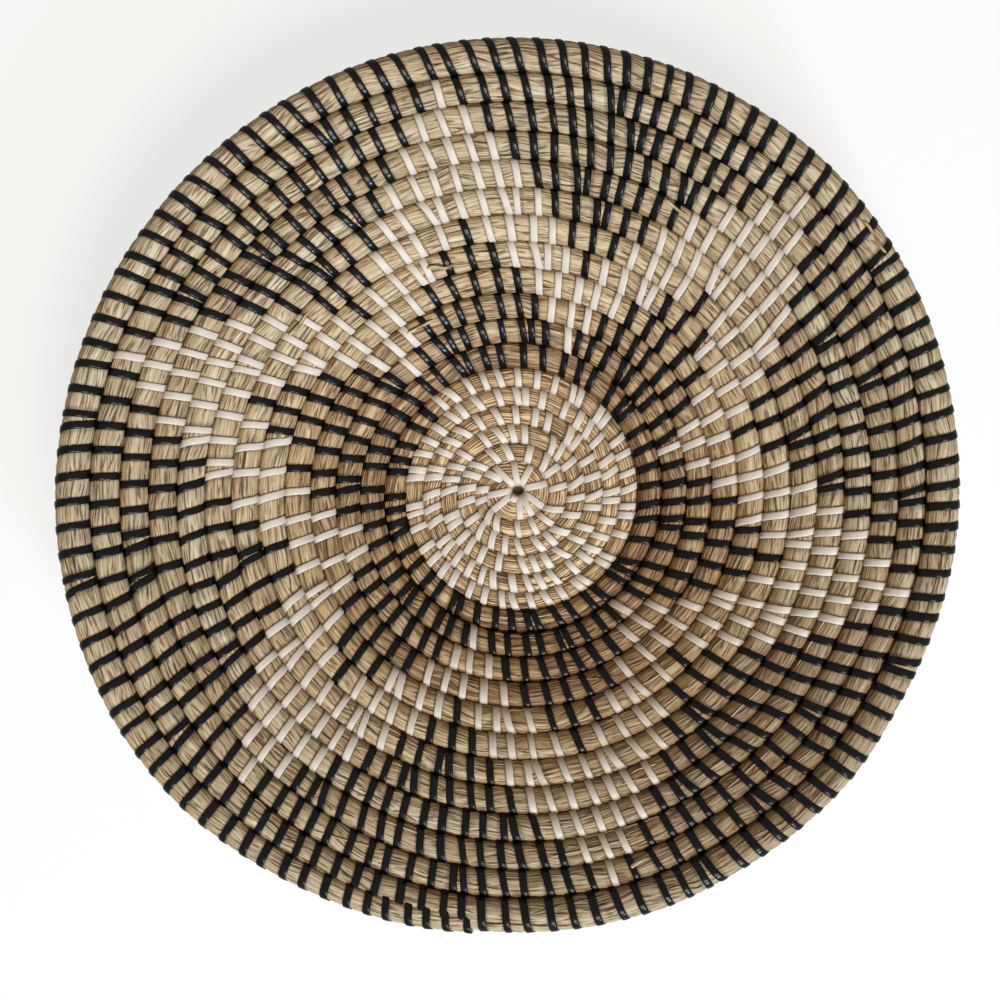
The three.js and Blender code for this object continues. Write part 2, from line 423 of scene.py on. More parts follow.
@dataclass
class StitchPlan:
    """Where the wraps go and which colour each has.

    The base has one count of wraps for each white turn past the first, which has spokes of its own,
    and a black row follows it. Each patterned row has six equal sectors, with the point of the star
    at the middle of each, and its own count of wraps in a sector. These rows are listed from the rim
    inward. In each, the wraps whose number from the star's point lies in a given range are white.
    """

    path: CoilPath
    rng: np.random.Generator
    white_counts: tuple[int, ...] = (15, 22, 28, 37, 42)
    first_black_count: int = 48
    sectors: int = 6
    sector_counts: tuple[int, ...] = (19, 18, 17, 16, 15, 12, 12, 10, 10, 10)
    white_ranges: tuple[tuple[int, int], ...] = (
        (0, 0), (0, 1), (0, 2), (0, 3), (0, 4), (1, 4), (2, 5), (3, 5), (4, 5), (5, 5),
    )
    arm_stray: tuple[Pair, ...] = (
        (44.8, 1.0), (104.8, -3.5), (164.8, -4.5), (224.8, 0.8), (284.8, -1.0), (344.8, 0.8),
    )
    rim_count: int = 120
    tail_loops: int = 5
    tail_spacing: float = 8.0
    tail_past_end: float = 0.2
    base_jitter: float = 0.17
    wall_jitter: float = 0.06
    base_lean: float = 2.1
    wall_lean: float = 2.7
    most_lean: float = 0.6
    lean_range: Pair = (0.6, 2.3)
    base_width: float = 3.0
    white_width: float = 3.05
    black_width: float = 2.95
    width_jitter: float = 0.06
    skew_share: float = 0.05
    skew: float = 0.25
    wander: float = 0.3
    wander_knot: float = 5.0
    first_matched: int = BLACK_ROW
    stretch: float = 0.97
    holes_back: int = 2
    share_cost: float = 0.12
    skip_cost: float = 3.0
    beside: float = 2.6
    aside: float = 2.8
    shared_spread: float = 0.4
    looseness: float = 0.33
    evenness: float = 0.65
    closest: float = 2.9
    least_share: float = 0.55
    settling_rounds: int = 30

    def patterned_row(self, ring: int) -> tuple[Array, Array]:
        """The places and colours of one patterned row, sector by sector.

        Args:
            ring: The patterned row, 1 beside the rim.

        Returns:
            The turn of each wrap, and True for each white one.
        """
        count = self.sector_counts[ring - 1]
        start = self.path.sizes.turn_count - self.path.sizes.rim_turns - ring
        offset = np.arange(count) - (count - 1) // 2
        sector = np.arange(self.sectors)[:, None]
        places = start + (sector + 0.5 + offset[None, :] / count) / self.sectors
        degrees = np.degrees(self.path.angle_at(places))
        places = places + led_around(self.arm_stray, degrees) / 360.0
        least, most = self.white_ranges[ring - 1]
        white = (np.abs(offset) >= least) & (np.abs(offset) <= most)
        return places.ravel(), np.tile(white, self.sectors)

    def even(self, start: float, length: float, count: int) -> Array:
        """Turns spread evenly over a stretch, the first and last half a spacing from its ends."""
        return start + (np.arange(count) + 0.5) / count * length

    def make(self) -> Stitches:
        """Lays out every wrap, row by row from the second, and moves each a little, as a hand would.

        Returns:
            The wraps in order along the bundle.
        """
        sizes = self.path.sizes
        rim_start = sizes.turn_count - sizes.rim_turns
        first_end = sizes.base_turns - len(self.white_counts)
        black_length = rim_start - len(self.sector_counts) - sizes.base_turns
        step = self.tail_spacing / (2 * math.pi * float(self.path.radius_at(np.array(sizes.turn_count))))
        tail_start = self.path.end - step * (self.tail_loops - self.tail_past_end)
        rim_length = tail_start - rim_start
        rows = []
        for number, count in enumerate(self.white_counts):
            rows.append((self.even(first_end + number, 1.0, count), True))
        black_count = round(self.first_black_count * black_length)
        rows.append((self.even(sizes.base_turns, black_length, black_count), False))
        rows.extend(self.patterned_row(ring) for ring in range(len(self.sector_counts), 0, -1))
        rows.append((self.even(rim_start, rim_length, round(self.rim_count * rim_length)), False))
        rows.append((tail_start + (np.arange(self.tail_loops) + 0.5) * step, False))
        places = np.concatenate([turns for turns, _ in rows])
        white = np.concatenate([np.broadcast_to(colours, turns.shape) for turns, colours in rows])
        row = np.repeat(np.arange(len(rows)) + 2, [len(turns) for turns, _ in rows])
        return self.loosen(places, white, row)

    def loosen(self, places: Array, white: Array, row: Array) -> Stitches:
        """Starts each wrap beside one of the row beneath, and leans and widens each a little.

        The needle goes in a little before the outer end of a wrap of the row beneath. Where a row
        has more wraps than the one beneath it, two share a hole and spread out from it. The outer
        end of a wrap lies between where it would lean to by itself and its even place.

        Args:
            places: The even turn of each wrap.
            white: True for each white wrap.
            row: The row of each wrap.

        Returns:
            The wraps.
        """
        count, rng = len(places), self.rng
        spacing = np.gradient(places)
        radius = np.maximum(self.path.radius_at(places), self.path.sizes.start_radius)
        one_mm = 1 / (2 * math.pi * radius)
        base_share = smooth_step(self.path.sizes.base_turns, self.path.sizes.base_turns + 1, places)
        lean = mix(self.base_lean, self.wall_lean, base_share) * one_mm
        lean = np.minimum(lean, spacing * self.most_lean)
        jitter = spacing * mix(self.base_jitter, self.wall_jitter, base_share)
        skewed = (rng.random(count) < self.skew_share) * rng.choice([-1.0, 1.0], size=count)
        turn = lean + jitter * rng.normal(size=count) + spacing * self.skew * skewed
        centre = places + jitter * rng.normal(size=count)
        drift = smooth_noise(rng, np.arange(float(count)), self.wander_knot, 1)[:, 0]
        drift = spacing * self.wander * drift
        entry, leave = centre - turn / 2, centre + turn / 2
        last = -1
        for here in self.stretches(places, row):
            if row[here[0]] < self.first_matched:
                below = leave[: here[0]] + 1
                start = self.step_aside(entry[here], below, self.aside * one_mm[here])
            else:
                first_hole = int(np.searchsorted(leave + 1, entry[here[0]])) - self.holes_back
                from_hole = last if last >= 0 else first_hole
                below = np.arange(from_hole, here[0])
                holes = leave[below] + 1 - self.beside * one_mm[below]
                chosen = self.match(entry[here] + drift[here], holes, spacing[here], last >= 0)
                last = from_hole + int(chosen[-1])
                shared = np.isin(chosen, chosen[1:][np.diff(chosen) == 0])
                start = holes[chosen] - self.shared_spread * self.closest * one_mm[here] * shared
                start = mix(start, entry[here], self.looseness)
            entry[here] = self.keep_apart(start, self.closest * one_mm[here])
            own = mix(turn[here], leave[here] - entry[here], self.evenness)
            own = np.clip(own, self.lean_range[0] * lean[here], self.lean_range[1] * lean[here])
            leave[here] = self.keep_apart(entry[here] + own, spacing[here] * self.least_share)
        entry = self.keep_apart(entry, np.minimum(self.closest * one_mm, spacing * self.least_share))
        leave = self.keep_apart(leave, spacing * self.least_share)
        pale = mix(self.base_width, self.white_width, base_share)
        width = np.where(white, pale, self.black_width)
        width = width * (1 + self.width_jitter * rng.normal(size=count))
        return Stitches(entry, leave, row, white, width)

    def stretches(self, places: Array, row: Array) -> list[Array]:
        """Splits the wraps past row 2 into stretches that are laid one after another.

        Args:
            places: The even turn of each wrap.
            row: The row of each wrap.

        Returns:
            The numbers of the wraps: the base row by row, the wall by less than a turn.
        """
        found = [np.flatnonzero(row == number) for number in range(3, self.first_matched)]
        first, end = np.searchsorted(row, [self.first_matched, row.max()])
        while first < end:
            stop = min(int(np.searchsorted(places, places[first] + self.stretch)), int(end))
            found.append(np.arange(first, stop))
            first = stop
        return found

    def step_aside(self, entry: Array, below: Array, room: Array) -> Array:
        """Moves each place off the nearest outer end beneath it until it has its room.

        Args:
            entry: The place at which each wrap would start.
            below: The outer ends of the row beneath.
            room: The least distance between the two.

        Returns:
            The places, moved to the side on which they were.
        """
        away = entry[:, None] - below[None, :]
        nearest = np.abs(away).argmin(axis=1)
        gap = away[np.arange(len(entry)), nearest]
        return below[nearest] + np.where(gap < 0, -1.0, 1.0) * np.maximum(np.abs(gap), room)

    def match(self, wanted: Array, holes: Array, spacing: Array, carried_on: bool) -> Array:
        """Which hole each wrap of a row takes, in order.

        Each choice costs the square of its distance from the wanted place in spacings, plus a fixed
        cost where a hole is shared and where one is passed over. The cheapest whole row is kept.

        Args:
            wanted: The turn at which each wrap would start by itself.
            holes: The turn of each hole.
            spacing: The distance between wraps.
            carried_on: Whether the first hole is the one that the last wrap before took.

        Returns:
            The number of the hole for each wrap.
        """
        cost = ((wanted[:, None] - holes[None, :]) / spacing[:, None]) ** 2
        total, steps = cost[0], []
        if carried_on:
            total = np.full(len(holes), np.inf)
            total[:3] = cost[0][:3] + np.array([self.share_cost, 0.0, self.skip_cost])
        for line in cost[1:]:
            moved = np.concatenate([[np.inf, np.inf], total])
            choices = np.stack([total + self.share_cost, moved[1:-1], moved[:-2] + self.skip_cost])
            steps.append(choices.argmin(axis=0))
            total = choices.min(axis=0) + line
        chosen = [int(total.argmin())]
        for step in reversed(steps):
            chosen.append(chosen[-1] - int(step[chosen[-1]]))
        return np.array(chosen[::-1])

    def keep_apart(self, places: Array, room: Array) -> Array:
        """Moves places that lie too close together until each has its least room.

        Args:
            places: The places in order.
            room: The least room for each.

        Returns:
            The places.
        """
        least = (room[1:] + room[:-1]) / 2
        for _ in range(self.settling_rounds):
            lack = np.maximum(least - np.diff(places), 0.0) / 2
            places = places.copy()
            places[:-1] -= lack
            places[1:] += lack
        return places


@dataclass
class Stray:
    """How the rings stray from an even spiral, in millimetres outward at a few angles in degrees.

    The hole at the middle lies a little aside too.
    """

    inner: tuple[Pair, ...] = ((0, 0.9), (90, -0.6), (180, 1.2), (270, -0.2))
    inner_radius: float = 19.0
    inner_spread: float = 15.0
    rim: tuple[Pair, ...] = (
        (0, -1.8), (50, 1.1), (110, 1.3), (135, 0.8), (180, 0.7), (210, -0.2),
        (240, -0.4), (262, 0.2), (275, -0.1), (288, -0.4), (302, -1.6), (318, -1.6), (332, -3.2),
    )
    rim_radius: float = 176.0
    rim_spread: float = 32.0
    hole: Pair = (0.5, 1.7)
    hole_spread: float = 8.0

    def apply(self, points: Array) -> Array:
        """Moves points outward or inward, each ring's stray falling off to both sides of the ring.

        Args:
            points: Points in millimetres about the coil's middle.

        Returns:
            The moved points.
        """
        radius = np.hypot(points[..., 0], points[..., 1])
        angle = np.degrees(np.arctan2(points[..., 1], points[..., 0]))
        near_middle = np.exp(-(((radius - self.inner_radius) / self.inner_spread) ** 2))
        near_rim = np.exp(-(((radius - self.rim_radius) / self.rim_spread) ** 2))
        move = led_around(self.inner, angle) * near_middle + led_around(self.rim, angle) * near_rim
        scale = 1 + move / np.maximum(radius, 1.0)
        aside = np.exp(-((radius / self.hole_spread) ** 2))[..., None] * np.array([*self.hole, 0.0])
        return points * np.stack([scale, scale, np.ones_like(scale)], axis=-1) + aside


@dataclass
class BundleForm:
    """The wrapped bundle's outer form: how wide and high it is at any turn and angle round it.

    Its section is a rounded oval: each half-width times a power of the cosine or sine of the angle
    round it, and a lower power on the wall makes it fuller there. It is drawn in under each wrap
    and swells between wraps. The first turn begins as a wedge and reaches in to the small hole at
    the middle. The last stretch is a thin tail over the outer side of the turn before. Points are
    in millimetres about the coil's middle, which lies at the axis in the frame, in metres.
    """

    path: CoilPath
    stitches: Stitches
    stray: Stray
    axis: Array
    base_roundness: float = 1.12
    wall_roundness: float = 0.86
    fuller_over: Pair = (5.0, 8.0)
    hole_radius: float = 2.1
    wedge_height: float = 0.3
    first_ring: float = 12.1
    settle_turns: float = 0.35
    drawn_in: float = 0.04
    swell: float = 0.008
    tail_turns: float = 0.16
    tail_settled: float = 0.25
    tail_reach: tuple[Pair, ...] = ((-54.0, 1.0), (-40.0, 0.86), (-24.0, 0.56), (-9.0, 0.36), (0.0, 0.2))
    tail_width: float = 0.62
    tail_height: float = 0.6
    tail_rise: float = 4.8
    tip_turns: float = 0.004
    tip_share: float = 0.5
    side_overlap: float = 0.35
    strip_room: float = 0.4
    comma: float = 1.25
    wound_from: Pair = (-0.6, -0.4)
    unwound_gap: float = 9.0
    hold_fade: float = 1.0

    def row_width(self, turns: Array) -> Array:
        """The room for a row across the bowl's section, without the solid bundle's thin tip."""
        whole = np.minimum(turns, self.path.sizes.turn_count - self.tail_turns)
        return 2 * self.path.half_bundle(whole) + self.path.turn_gap

    def outer_edge(self, turns: Array) -> Array:
        """How far from the middle the outer edge of a row lies, measured along the bowl's section.

        Past the last whole stretch it is the edge of the turn before plus a falling share of a row.

        Args:
            turns: The turns.

        Returns:
            A distance for each turn.
        """
        path = self.path
        whole = np.where(turns > path.end - self.tail_turns, turns - 1, turns)
        edge = path.distance_at(whole) + path.half_bundle(whole) + path.turn_gap / 2
        from_end, shares = np.array(self.tail_reach).T
        share = np.interp((turns - path.end) * 360.0, from_end, shares)
        edge = edge + (turns - whole) * share * self.row_width(turns)
        start = path.sizes.start_radius + float(path.half_bundle(np.array(0.0))) + path.turn_gap / 2
        edge = edge + (self.first_ring - start) * (1 - smooth_step(0.0, self.settle_turns, turns))
        return mix(self.hole_radius, edge, smooth_step(-path.lead_in, 0.0, turns))

    def tail(self, turns: Array) -> Array:
        """How far the bundle has changed into its thin tail, from 0 to 1."""
        end = self.path.end
        return smooth_step(end - self.tail_turns, end - self.tail_settled * self.tail_turns, turns)

    def left(self, turns: Array) -> Array:
        """How much of the bundle is left, which drops only in its blunt tip."""
        end = self.path.end
        return 1 - (1 - self.tip_share) * smooth_step(end - self.tip_turns, end, turns)

    def edges(self, turns: Array) -> tuple[Array, Array]:
        """How far from the middle the two edges of a row lie.

        The inner edge is the outer edge a turn before. The tail lies over the outer side of the
        turn before and keeps its own width.

        Args:
            turns: The turns.

        Returns:
            The inner and the outer edge for each turn.
        """
        inner, outer = self.outer_edge(turns - 1), self.outer_edge(turns)
        width = self.row_width(turns) * mix(1.0, self.tail_width, self.tail(turns)) * self.left(turns)
        kept = np.where(turns > self.path.end - self.tail_turns, outer - width, inner)
        return kept, outer

    def frames(self, turns: Array) -> Frames:
        """The middle line of the row, which rises in the tail.

        Args:
            turns: The turns.

        Returns:
            The places and directions.
        """
        inner, outer = self.edges(turns)
        frames = self.path.frames(turns, (inner + outer) / 2)
        rise = self.tail_rise * self.tail(turns)
        return frames._replace(centre=frames.centre + frames.above * rise[..., None])

    def half_width(self, turns: Array) -> Array:
        """Half the width of the bundle across its row, a little more than half its room."""
        inner, outer = self.edges(turns)
        return (outer - inner) / 2 + self.side_overlap

    def half_height(self, turns: Array) -> Array:
        """Half the height of the bundle, so that a strip over it stays near the solid strip.

        Args:
            turns: The turns.

        Returns:
            A half-height for each turn.
        """
        sizes = self.path.sizes
        side = (self.row_width(turns) - self.path.turn_gap) / 2 / self.path.mitre
        full = side + sizes.clearance + sizes.strip_thickness - self.strip_room
        thin = mix(1.0, self.tail_height, self.tail(turns)) * self.left(turns)
        return full * mix(self.wedge_height, thin, smooth_step(-self.path.lead_in, 0.0, turns))

    def growth(self, hold: Array) -> Array:
        """The factor on the section: drawn in where a wrap holds it, swollen between wraps."""
        return 1 + self.swell * (1 - hold) - self.drawn_in * hold

    def hold(self, phase: Array, angle: Array) -> tuple[Array, Array]:
        """How tightly the wraps hold points on the bundle.

        Over the row a wrap keeps its running number. Beneath it the number grows by one on the way
        to the next wrap. Within half a strip's width the hold is full, and past it falls off. The
        wedge before the first wrap isn't held.

        Args:
            phase: The running number of the wraps at each point.
            angle: The angle of each point round the bundle.

        Returns:
            The hold from 0 to 1, and the distance in millimetres past the strip's edge.
        """
        stitches = self.stitches
        place = np.where(angle >= 0, phase, phase + angle / math.pi)
        nearest = np.round(place)
        index = np.clip(nearest, 0, stitches.count - 1).astype(int)
        radius = np.maximum(self.path.radius_at(stitches.entry_at(place)), self.path.sizes.start_radius)
        away = np.abs(place - nearest) * stitches.spacing_at(place) * 2 * math.pi * radius
        past = away - stitches.width[index] / 2
        wound = smooth_step(*self.wound_from, phase)
        held = wound * np.exp(-((np.maximum(past, 0.0) / self.hold_fade) ** 2))
        return held, past + self.unwound_gap * (1 - wound)

    def surface(self, turns: Array, angle: Array, growth: Array, offset: Array) -> Array:
        """Points on the bundle's form.

        Args:
            turns: The turn of each point.
            angle: The angle of each point round the bundle, 0 outward and a quarter turn up.
            growth: A factor on the section at each point.
            offset: A distance outward from the section at each point.

        Returns:
            The points, with x, y and z last.
        """
        frames = self.frames(turns)
        sideways, upward, out_x, out_y = self.section(turns, angle)
        across = sideways * growth + out_x * offset
        height = upward * growth + out_y * offset
        points = frames.centre + frames.across * across[..., None] + frames.above * height[..., None]
        return self.stray.apply(points)

    def section(self, turns: Array, angle: Array) -> tuple[Array, Array, Array, Array]:
        """The rounded oval, and the way straight out of a plain ellipse of the same widths.

        Args:
            turns: The turn of each point.
            angle: The angle of each point round the bundle.

        Returns:
            How far each point lies across and above the centre line, and how far the way out, of
            length 1, leads across and above.
        """
        cosine, sine = np.cos(angle), np.sin(angle)
        wide, high = self.half_width(turns), self.half_height(turns)
        power = mix(self.base_roundness, self.wall_roundness, smooth_step(*self.fuller_over, turns))
        across = wide * np.sign(cosine) * np.abs(cosine) ** power
        above = high * np.sign(sine) * np.abs(sine) ** power
        length = np.hypot(cosine * high, sine * wide)
        return across, above, cosine * high / length, sine * wide / length


def linear(red: int, green: int, blue: int) -> Array:
    """A screen colour from 0 to 255 turned to linear light."""
    value = np.array([red, green, blue]) / 255.0
    return np.where(value <= 0.04045, value / 12.92, ((value + 0.055) / 1.055) ** 2.4)


def wrap_angle(angle: Array) -> Array:
    """An angle brought between minus and plus half a turn."""
    return (angle + math.pi) % (2 * math.pi) - math.pi


@dataclass
class Tubes:
    """Closed tubes that are gathered into one mesh, with a colour and a UV map.

    A tube's points come ring by ring, with the middle of its first ring and of its last ring after
    them. Four-sided faces lie between its rings, and a fan of triangles closes each end.
    """

    sides: int
    points: list[Array] = field(default_factory=list)
    colours: list[Array] = field(default_factory=list)
    quads: list[Array] = field(default_factory=list)
    tris: list[Array] = field(default_factory=list)
    quad_uv: list[Array] = field(default_factory=list)
    tri_uv: list[Array] = field(default_factory=list)

    def add(self, rings: Array, colours: Array, along: Array, around: Array) -> None:
        """Adds a tube.

        Args:
            rings: The points of each ring, in millimetres about the coil's middle.
            colours: A colour for each point, or for each ring, or one for the whole tube.
            along: The distance along the tube of each ring.
            around: The distance round it of each side, with one more for the way back to the first.
        """
        shift = sum(len(part) for part in self.points)
        quads, tris = self.faces(len(rings))
        self.quads.append(quads + shift)
        self.tris.append(tris + shift)
        self.points.append(self.with_ends(rings))
        self.colours.append(self.with_ends(np.broadcast_to(colours, rings.shape)))
        quad_uv, tri_uv = self.corner_uv(along, around)
        self.quad_uv.append(quad_uv)
        self.tri_uv.append(tri_uv)

    def with_ends(self, rings: Array) -> Array:
        """The values at a tube's points in one list, with the mean of each end ring after them."""
        return np.concatenate([rings.reshape(-1, 3), [rings[0].mean(axis=0), rings[-1].mean(axis=0)]])

    def faces(self, rings: int) -> tuple[Array, Array]:
        """The faces of a tube.

        Args:
            rings: How many rings the tube has.

        Returns:
            The four-sided faces and the triangles, by point number.
        """
        side = np.arange(self.sides)
        following = (side + 1) % self.sides
        low = np.arange(rings - 1)[:, None] * self.sides
        high = low + self.sides
        quads = np.stack([low + side, high + side, high + following, low + following], axis=-1)
        top = (rings - 1) * self.sides
        middle = np.full(self.sides, rings * self.sides)
        start = np.stack([middle, side, following], axis=-1)
        end = np.stack([middle + 1, top + following, top + side], axis=-1)
        return quads.reshape(-1, 4), np.concatenate([start, end])

    def corner_uv(self, along: Array, around: Array) -> tuple[Array, Array]:
        """A UV pair for each corner of a tube's faces, with no seam in its last column.

        Args:
            along: The distance along the tube of each ring.
            around: The distance round it of each side, with one more for the way back to the first.

        Returns:
            The pairs for the four-sided faces and for the triangles, in the order of the faces.
        """
        low, high, here, there = along[:-1, None], along[1:, None], around[:-1], around[1:]
        corners = [(low, here), (high, here), (high, there), (low, there)]
        quads = np.stack([np.stack(np.broadcast_arrays(*pair), axis=-1) for pair in corners], axis=2)
        middle = np.full(self.sides, around.mean())
        ways = np.stack([[middle, here, there], [middle, there, here]])
        places = np.broadcast_to(along[[0, -1], None, None], ways.shape)
        tris = np.stack([places, ways], axis=-1).transpose(0, 2, 1, 3)
        return quads.reshape(-1, 2), tris.reshape(-1, 2)

    def make(self, name: str, axis: Array, colour_name: str) -> bpy.types.Object:
        """Puts the tubes into a new mesh object at the origin, smooth but for the fans at their ends.

        Args:
            name: The piece's name.
            axis: The coil's middle in the frame, in metres.
            colour_name: The name under which the mesh keeps its colours.

        Returns:
            The object, linked to the scene.
        """
        verts, quads, tris = (np.concatenate(parts) for parts in (self.points, self.quads, self.tris))
        mesh = bpy.data.meshes.new(name)
        mesh.vertices.add(len(verts))
        mesh.vertices.foreach_set("co", (verts * MM + axis).astype(np.float32).ravel())
        loops = np.concatenate([quads.ravel(), tris.ravel()]).astype(np.int32)
        starts = np.concatenate([np.arange(len(quads)) * 4, quads.size + np.arange(len(tris)) * 3])
        mesh.loops.add(len(loops))
        mesh.loops.foreach_set("vertex_index", loops)
        mesh.polygons.add(len(starts))
        mesh.polygons.foreach_set("loop_start", starts.astype(np.int32))
        mesh.polygons.foreach_set("use_smooth", np.arange(len(starts)) < len(quads))
        mesh.update(calc_edges=True)
        mesh.validate()
        colours = np.ones((len(verts), 4), dtype=np.float32)
        colours[:, :3] = np.concatenate(self.colours)
        attribute = mesh.color_attributes.new(name=colour_name, type="FLOAT_COLOR", domain="POINT")
        attribute.data.foreach_set("color", colours.ravel())
        corner_uv = np.concatenate(self.quad_uv + self.tri_uv).astype(np.float32)
        mesh.uv_layers.new(name="UVMap").data.foreach_set("uv", corner_uv.ravel())
        made = bpy.data.objects.new(name, mesh)
        bpy.context.scene.collection.objects.link(made)
        return made


class Rings(NamedTuple):
    """The rings of the grass: the wraps' running number, the turn, and the distance along it in mm."""

    phase: Array
    turns: Array
    length: Array


@dataclass
class GrassTones:
    """The colours of the grass.

    A stalk's tone from 0 to 1 leads through the stops from brown to pale. It is the middle tone,
    plus the stalk's own, slow and quick changes along it, plus that of the whole batch, less a
    share in the brown rows. The base is more golden. The outer rows are darker: a painted falloff of
    light towards the rim. One side of the wall is darker and warmer, with calmer cracks: painted shade
    of the side turned away from the key light. Open cracks between stalks and the sides towards the
    next row are in shade.
    """

    path: CoilPath
    rng: np.random.Generator
    stalks: int
    stops: tuple[tuple[int, int, int], ...] = (
        (116, 83, 54), (177, 146, 107), (206, 181, 144), (228, 209, 177),
    )
    middle: float = 0.62
    own: float = 0.12
    own_more_in_base: float = 0.13
    slow: float = 0.15
    slow_knot: float = 34.0
    quick: float = 0.08
    quick_knot: float = 7.0
    batch: float = 0.14
    batch_knot: float = 220.0
    brown: float = 0.45
    brown_rows: float = 0.85
    brown_base: float = 0.3
    brown_rise: Pair = (-0.6, 0.8)
    brown_fall: Pair = (2.5, 5.5)
    golden: Triple = (1.23, 1.15, 1.06)
    golden_until: Pair = (5.0, 8.0)
    # Painted shade: the outer rows darken, a falloff of light towards the rim.
    rim_falloff_shade: float = 0.19
    rim_falloff_over: Pair = (9.5, 15.0)
    # Painted shade: one side of the wall, turned away from the key light, is darker and warmer, with calmer
    # cracks.
    painted_shade_side: float = 312.0
    painted_shade_spread: float = 36.0
    painted_shade_over: Pair = (7.0, 15.0)
    painted_shade_depth: Triple = (0.36, 0.41, 0.48)
    painted_shade_calm: float = 0.5
    # Painted shade in the open cracks between stalks: the light at a crack, how much more an open one
    # darkens, and the darkening beside it, warmer where darker.
    groove: float = 0.7
    crack_depth: float = 0.67
    crack_side: float = 0.35
    shade_tint: Triple = (1.0, 0.88, 0.72)
    # Painted shade on the sides towards the next row and beside the strips.
    base_side: float = 0.62
    wall_side: float = 0.6
    side_over: Pair = (5.0, 9.0)
    side_from: Pair = (0.78, 0.97)
    open_turns: float = 0.02
    strip_shadow: float = 0.55
    strip_shadow_reach: float = 0.4

    def colours(self, rings: Rings, crack: Array) -> Array:
        """The colour of each point: its stalk's tone, and dark where a crack is open.

        Args:
            rings: The rings.
            crack: How open the crack before each stalk is.

        Returns:
            A colour for each ring and side.
        """
        stops = np.stack([linear(*stop) for stop in self.stops])
        at = self.tone(rings)[..., None] * (len(stops) - 1)
        low = np.minimum(np.floor(at[..., 0]).astype(int), len(stops) - 2)
        colour = mix(stops[low], stops[low + 1], at - low[..., None])
        turns = rings.turns
        inside = 1 - smooth_step(*self.golden_until, turns)[:, None, None]
        # Painted shade: the outer rows darken, a falloff of light towards the rim.
        rim_falloff = 1 - self.rim_falloff_shade * smooth_step(*self.rim_falloff_over, turns)[:, None, None]
        # Painted shade of the wall's side turned away from the key light: darker and warmer, with calmer
        # cracks.
        away = wrap_angle(self.path.angle_at(turns) - math.radians(self.painted_shade_side))
        near = np.exp(-((away / math.radians(self.painted_shade_spread)) ** 2)) * smooth_step(*self.painted_shade_over, turns)
        near = near[:, None, None]
        colour = colour * (1 + (np.array(self.golden) - 1) * inside)
        colour = colour * (rim_falloff * (1 - np.array(self.painted_shade_depth) * near))
        # Painted shade in and beside the open cracks, warmer where darker.
        at_crack = self.groove - self.crack_depth * crack
        past_crack = 1 - self.crack_side * crack
        before_next = np.roll(past_crack, -1, axis=1)
        light = np.stack([at_crack, past_crack, np.ones_like(crack), before_next], axis=-1)
        light = mix(light, 1.0, self.painted_shade_calm * near)[..., None]
        tint = mix(np.array(self.shade_tint), np.ones(3), light)
        return (colour[:, :, None, :] * light * tint).reshape(len(turns), -1, 3)

    def tone(self, rings: Rings) -> Array:
        """How pale each stalk is at each ring.

        Args:
            rings: The rings.

        Returns:
            A tone from 0 to 1 for each ring and stalk.
        """
        own = self.rng.uniform(-1, 1, (1, self.stalks))
        slow = smooth_noise(self.rng, rings.length, self.slow_knot, self.stalks)
        quick = smooth_noise(self.rng, rings.length, self.quick_knot, self.stalks)
        batch = smooth_noise(self.rng, rings.length, self.batch_knot, 1)
        inside = 1 - smooth_step(*self.golden_until, rings.turns)[:, None]
        brown = self.brown_share(rings.turns)[:, None]
        tone = self.middle + (self.own + self.own_more_in_base * inside) * own + self.slow * slow
        tone = tone + self.quick * quick + self.batch * batch - self.brown * brown
        return np.clip(tone, 0.0, 1.0)

    def brown_share(self, turns: Array) -> Array:
        """How brown the grass is along the bundle: most in the rows just past the white base.

        Args:
            turns: The turn of each ring.

        Returns:
            A share from 0 to 1 for each ring.
        """
        past_base = turns - self.path.sizes.base_turns
        rise = smooth_step(*self.brown_rise, past_base)
        fall = 1 - smooth_step(*self.brown_fall, past_base)
        return self.brown_rows * rise * fall + self.brown_base * (1 - rise)

    def shading(self, turns: Array, angles: Array, past: Array) -> Array:
        """How light each point is, beside the strips and on the sides towards the next row.

        Args:
            turns: The turn of each point.
            angles: The angle of each point round the bundle.
            past: The distance of each point past the edge of a strip, in millimetres.

        Returns:
            A factor up to 1 for each point.
        """
        end = self.path.end - 1
        dark = mix(self.base_side, self.wall_side, smooth_step(*self.side_over, turns))
        open_side = smooth_step(end - self.open_turns, end, turns) * (np.cos(angles) > 0)
        side = 1 - dark * (1 - open_side) * smooth_step(*self.side_from, np.abs(np.cos(angles)))
        return side * (1 - self.strip_shadow * np.exp(-((past / self.strip_shadow_reach) ** 2)))


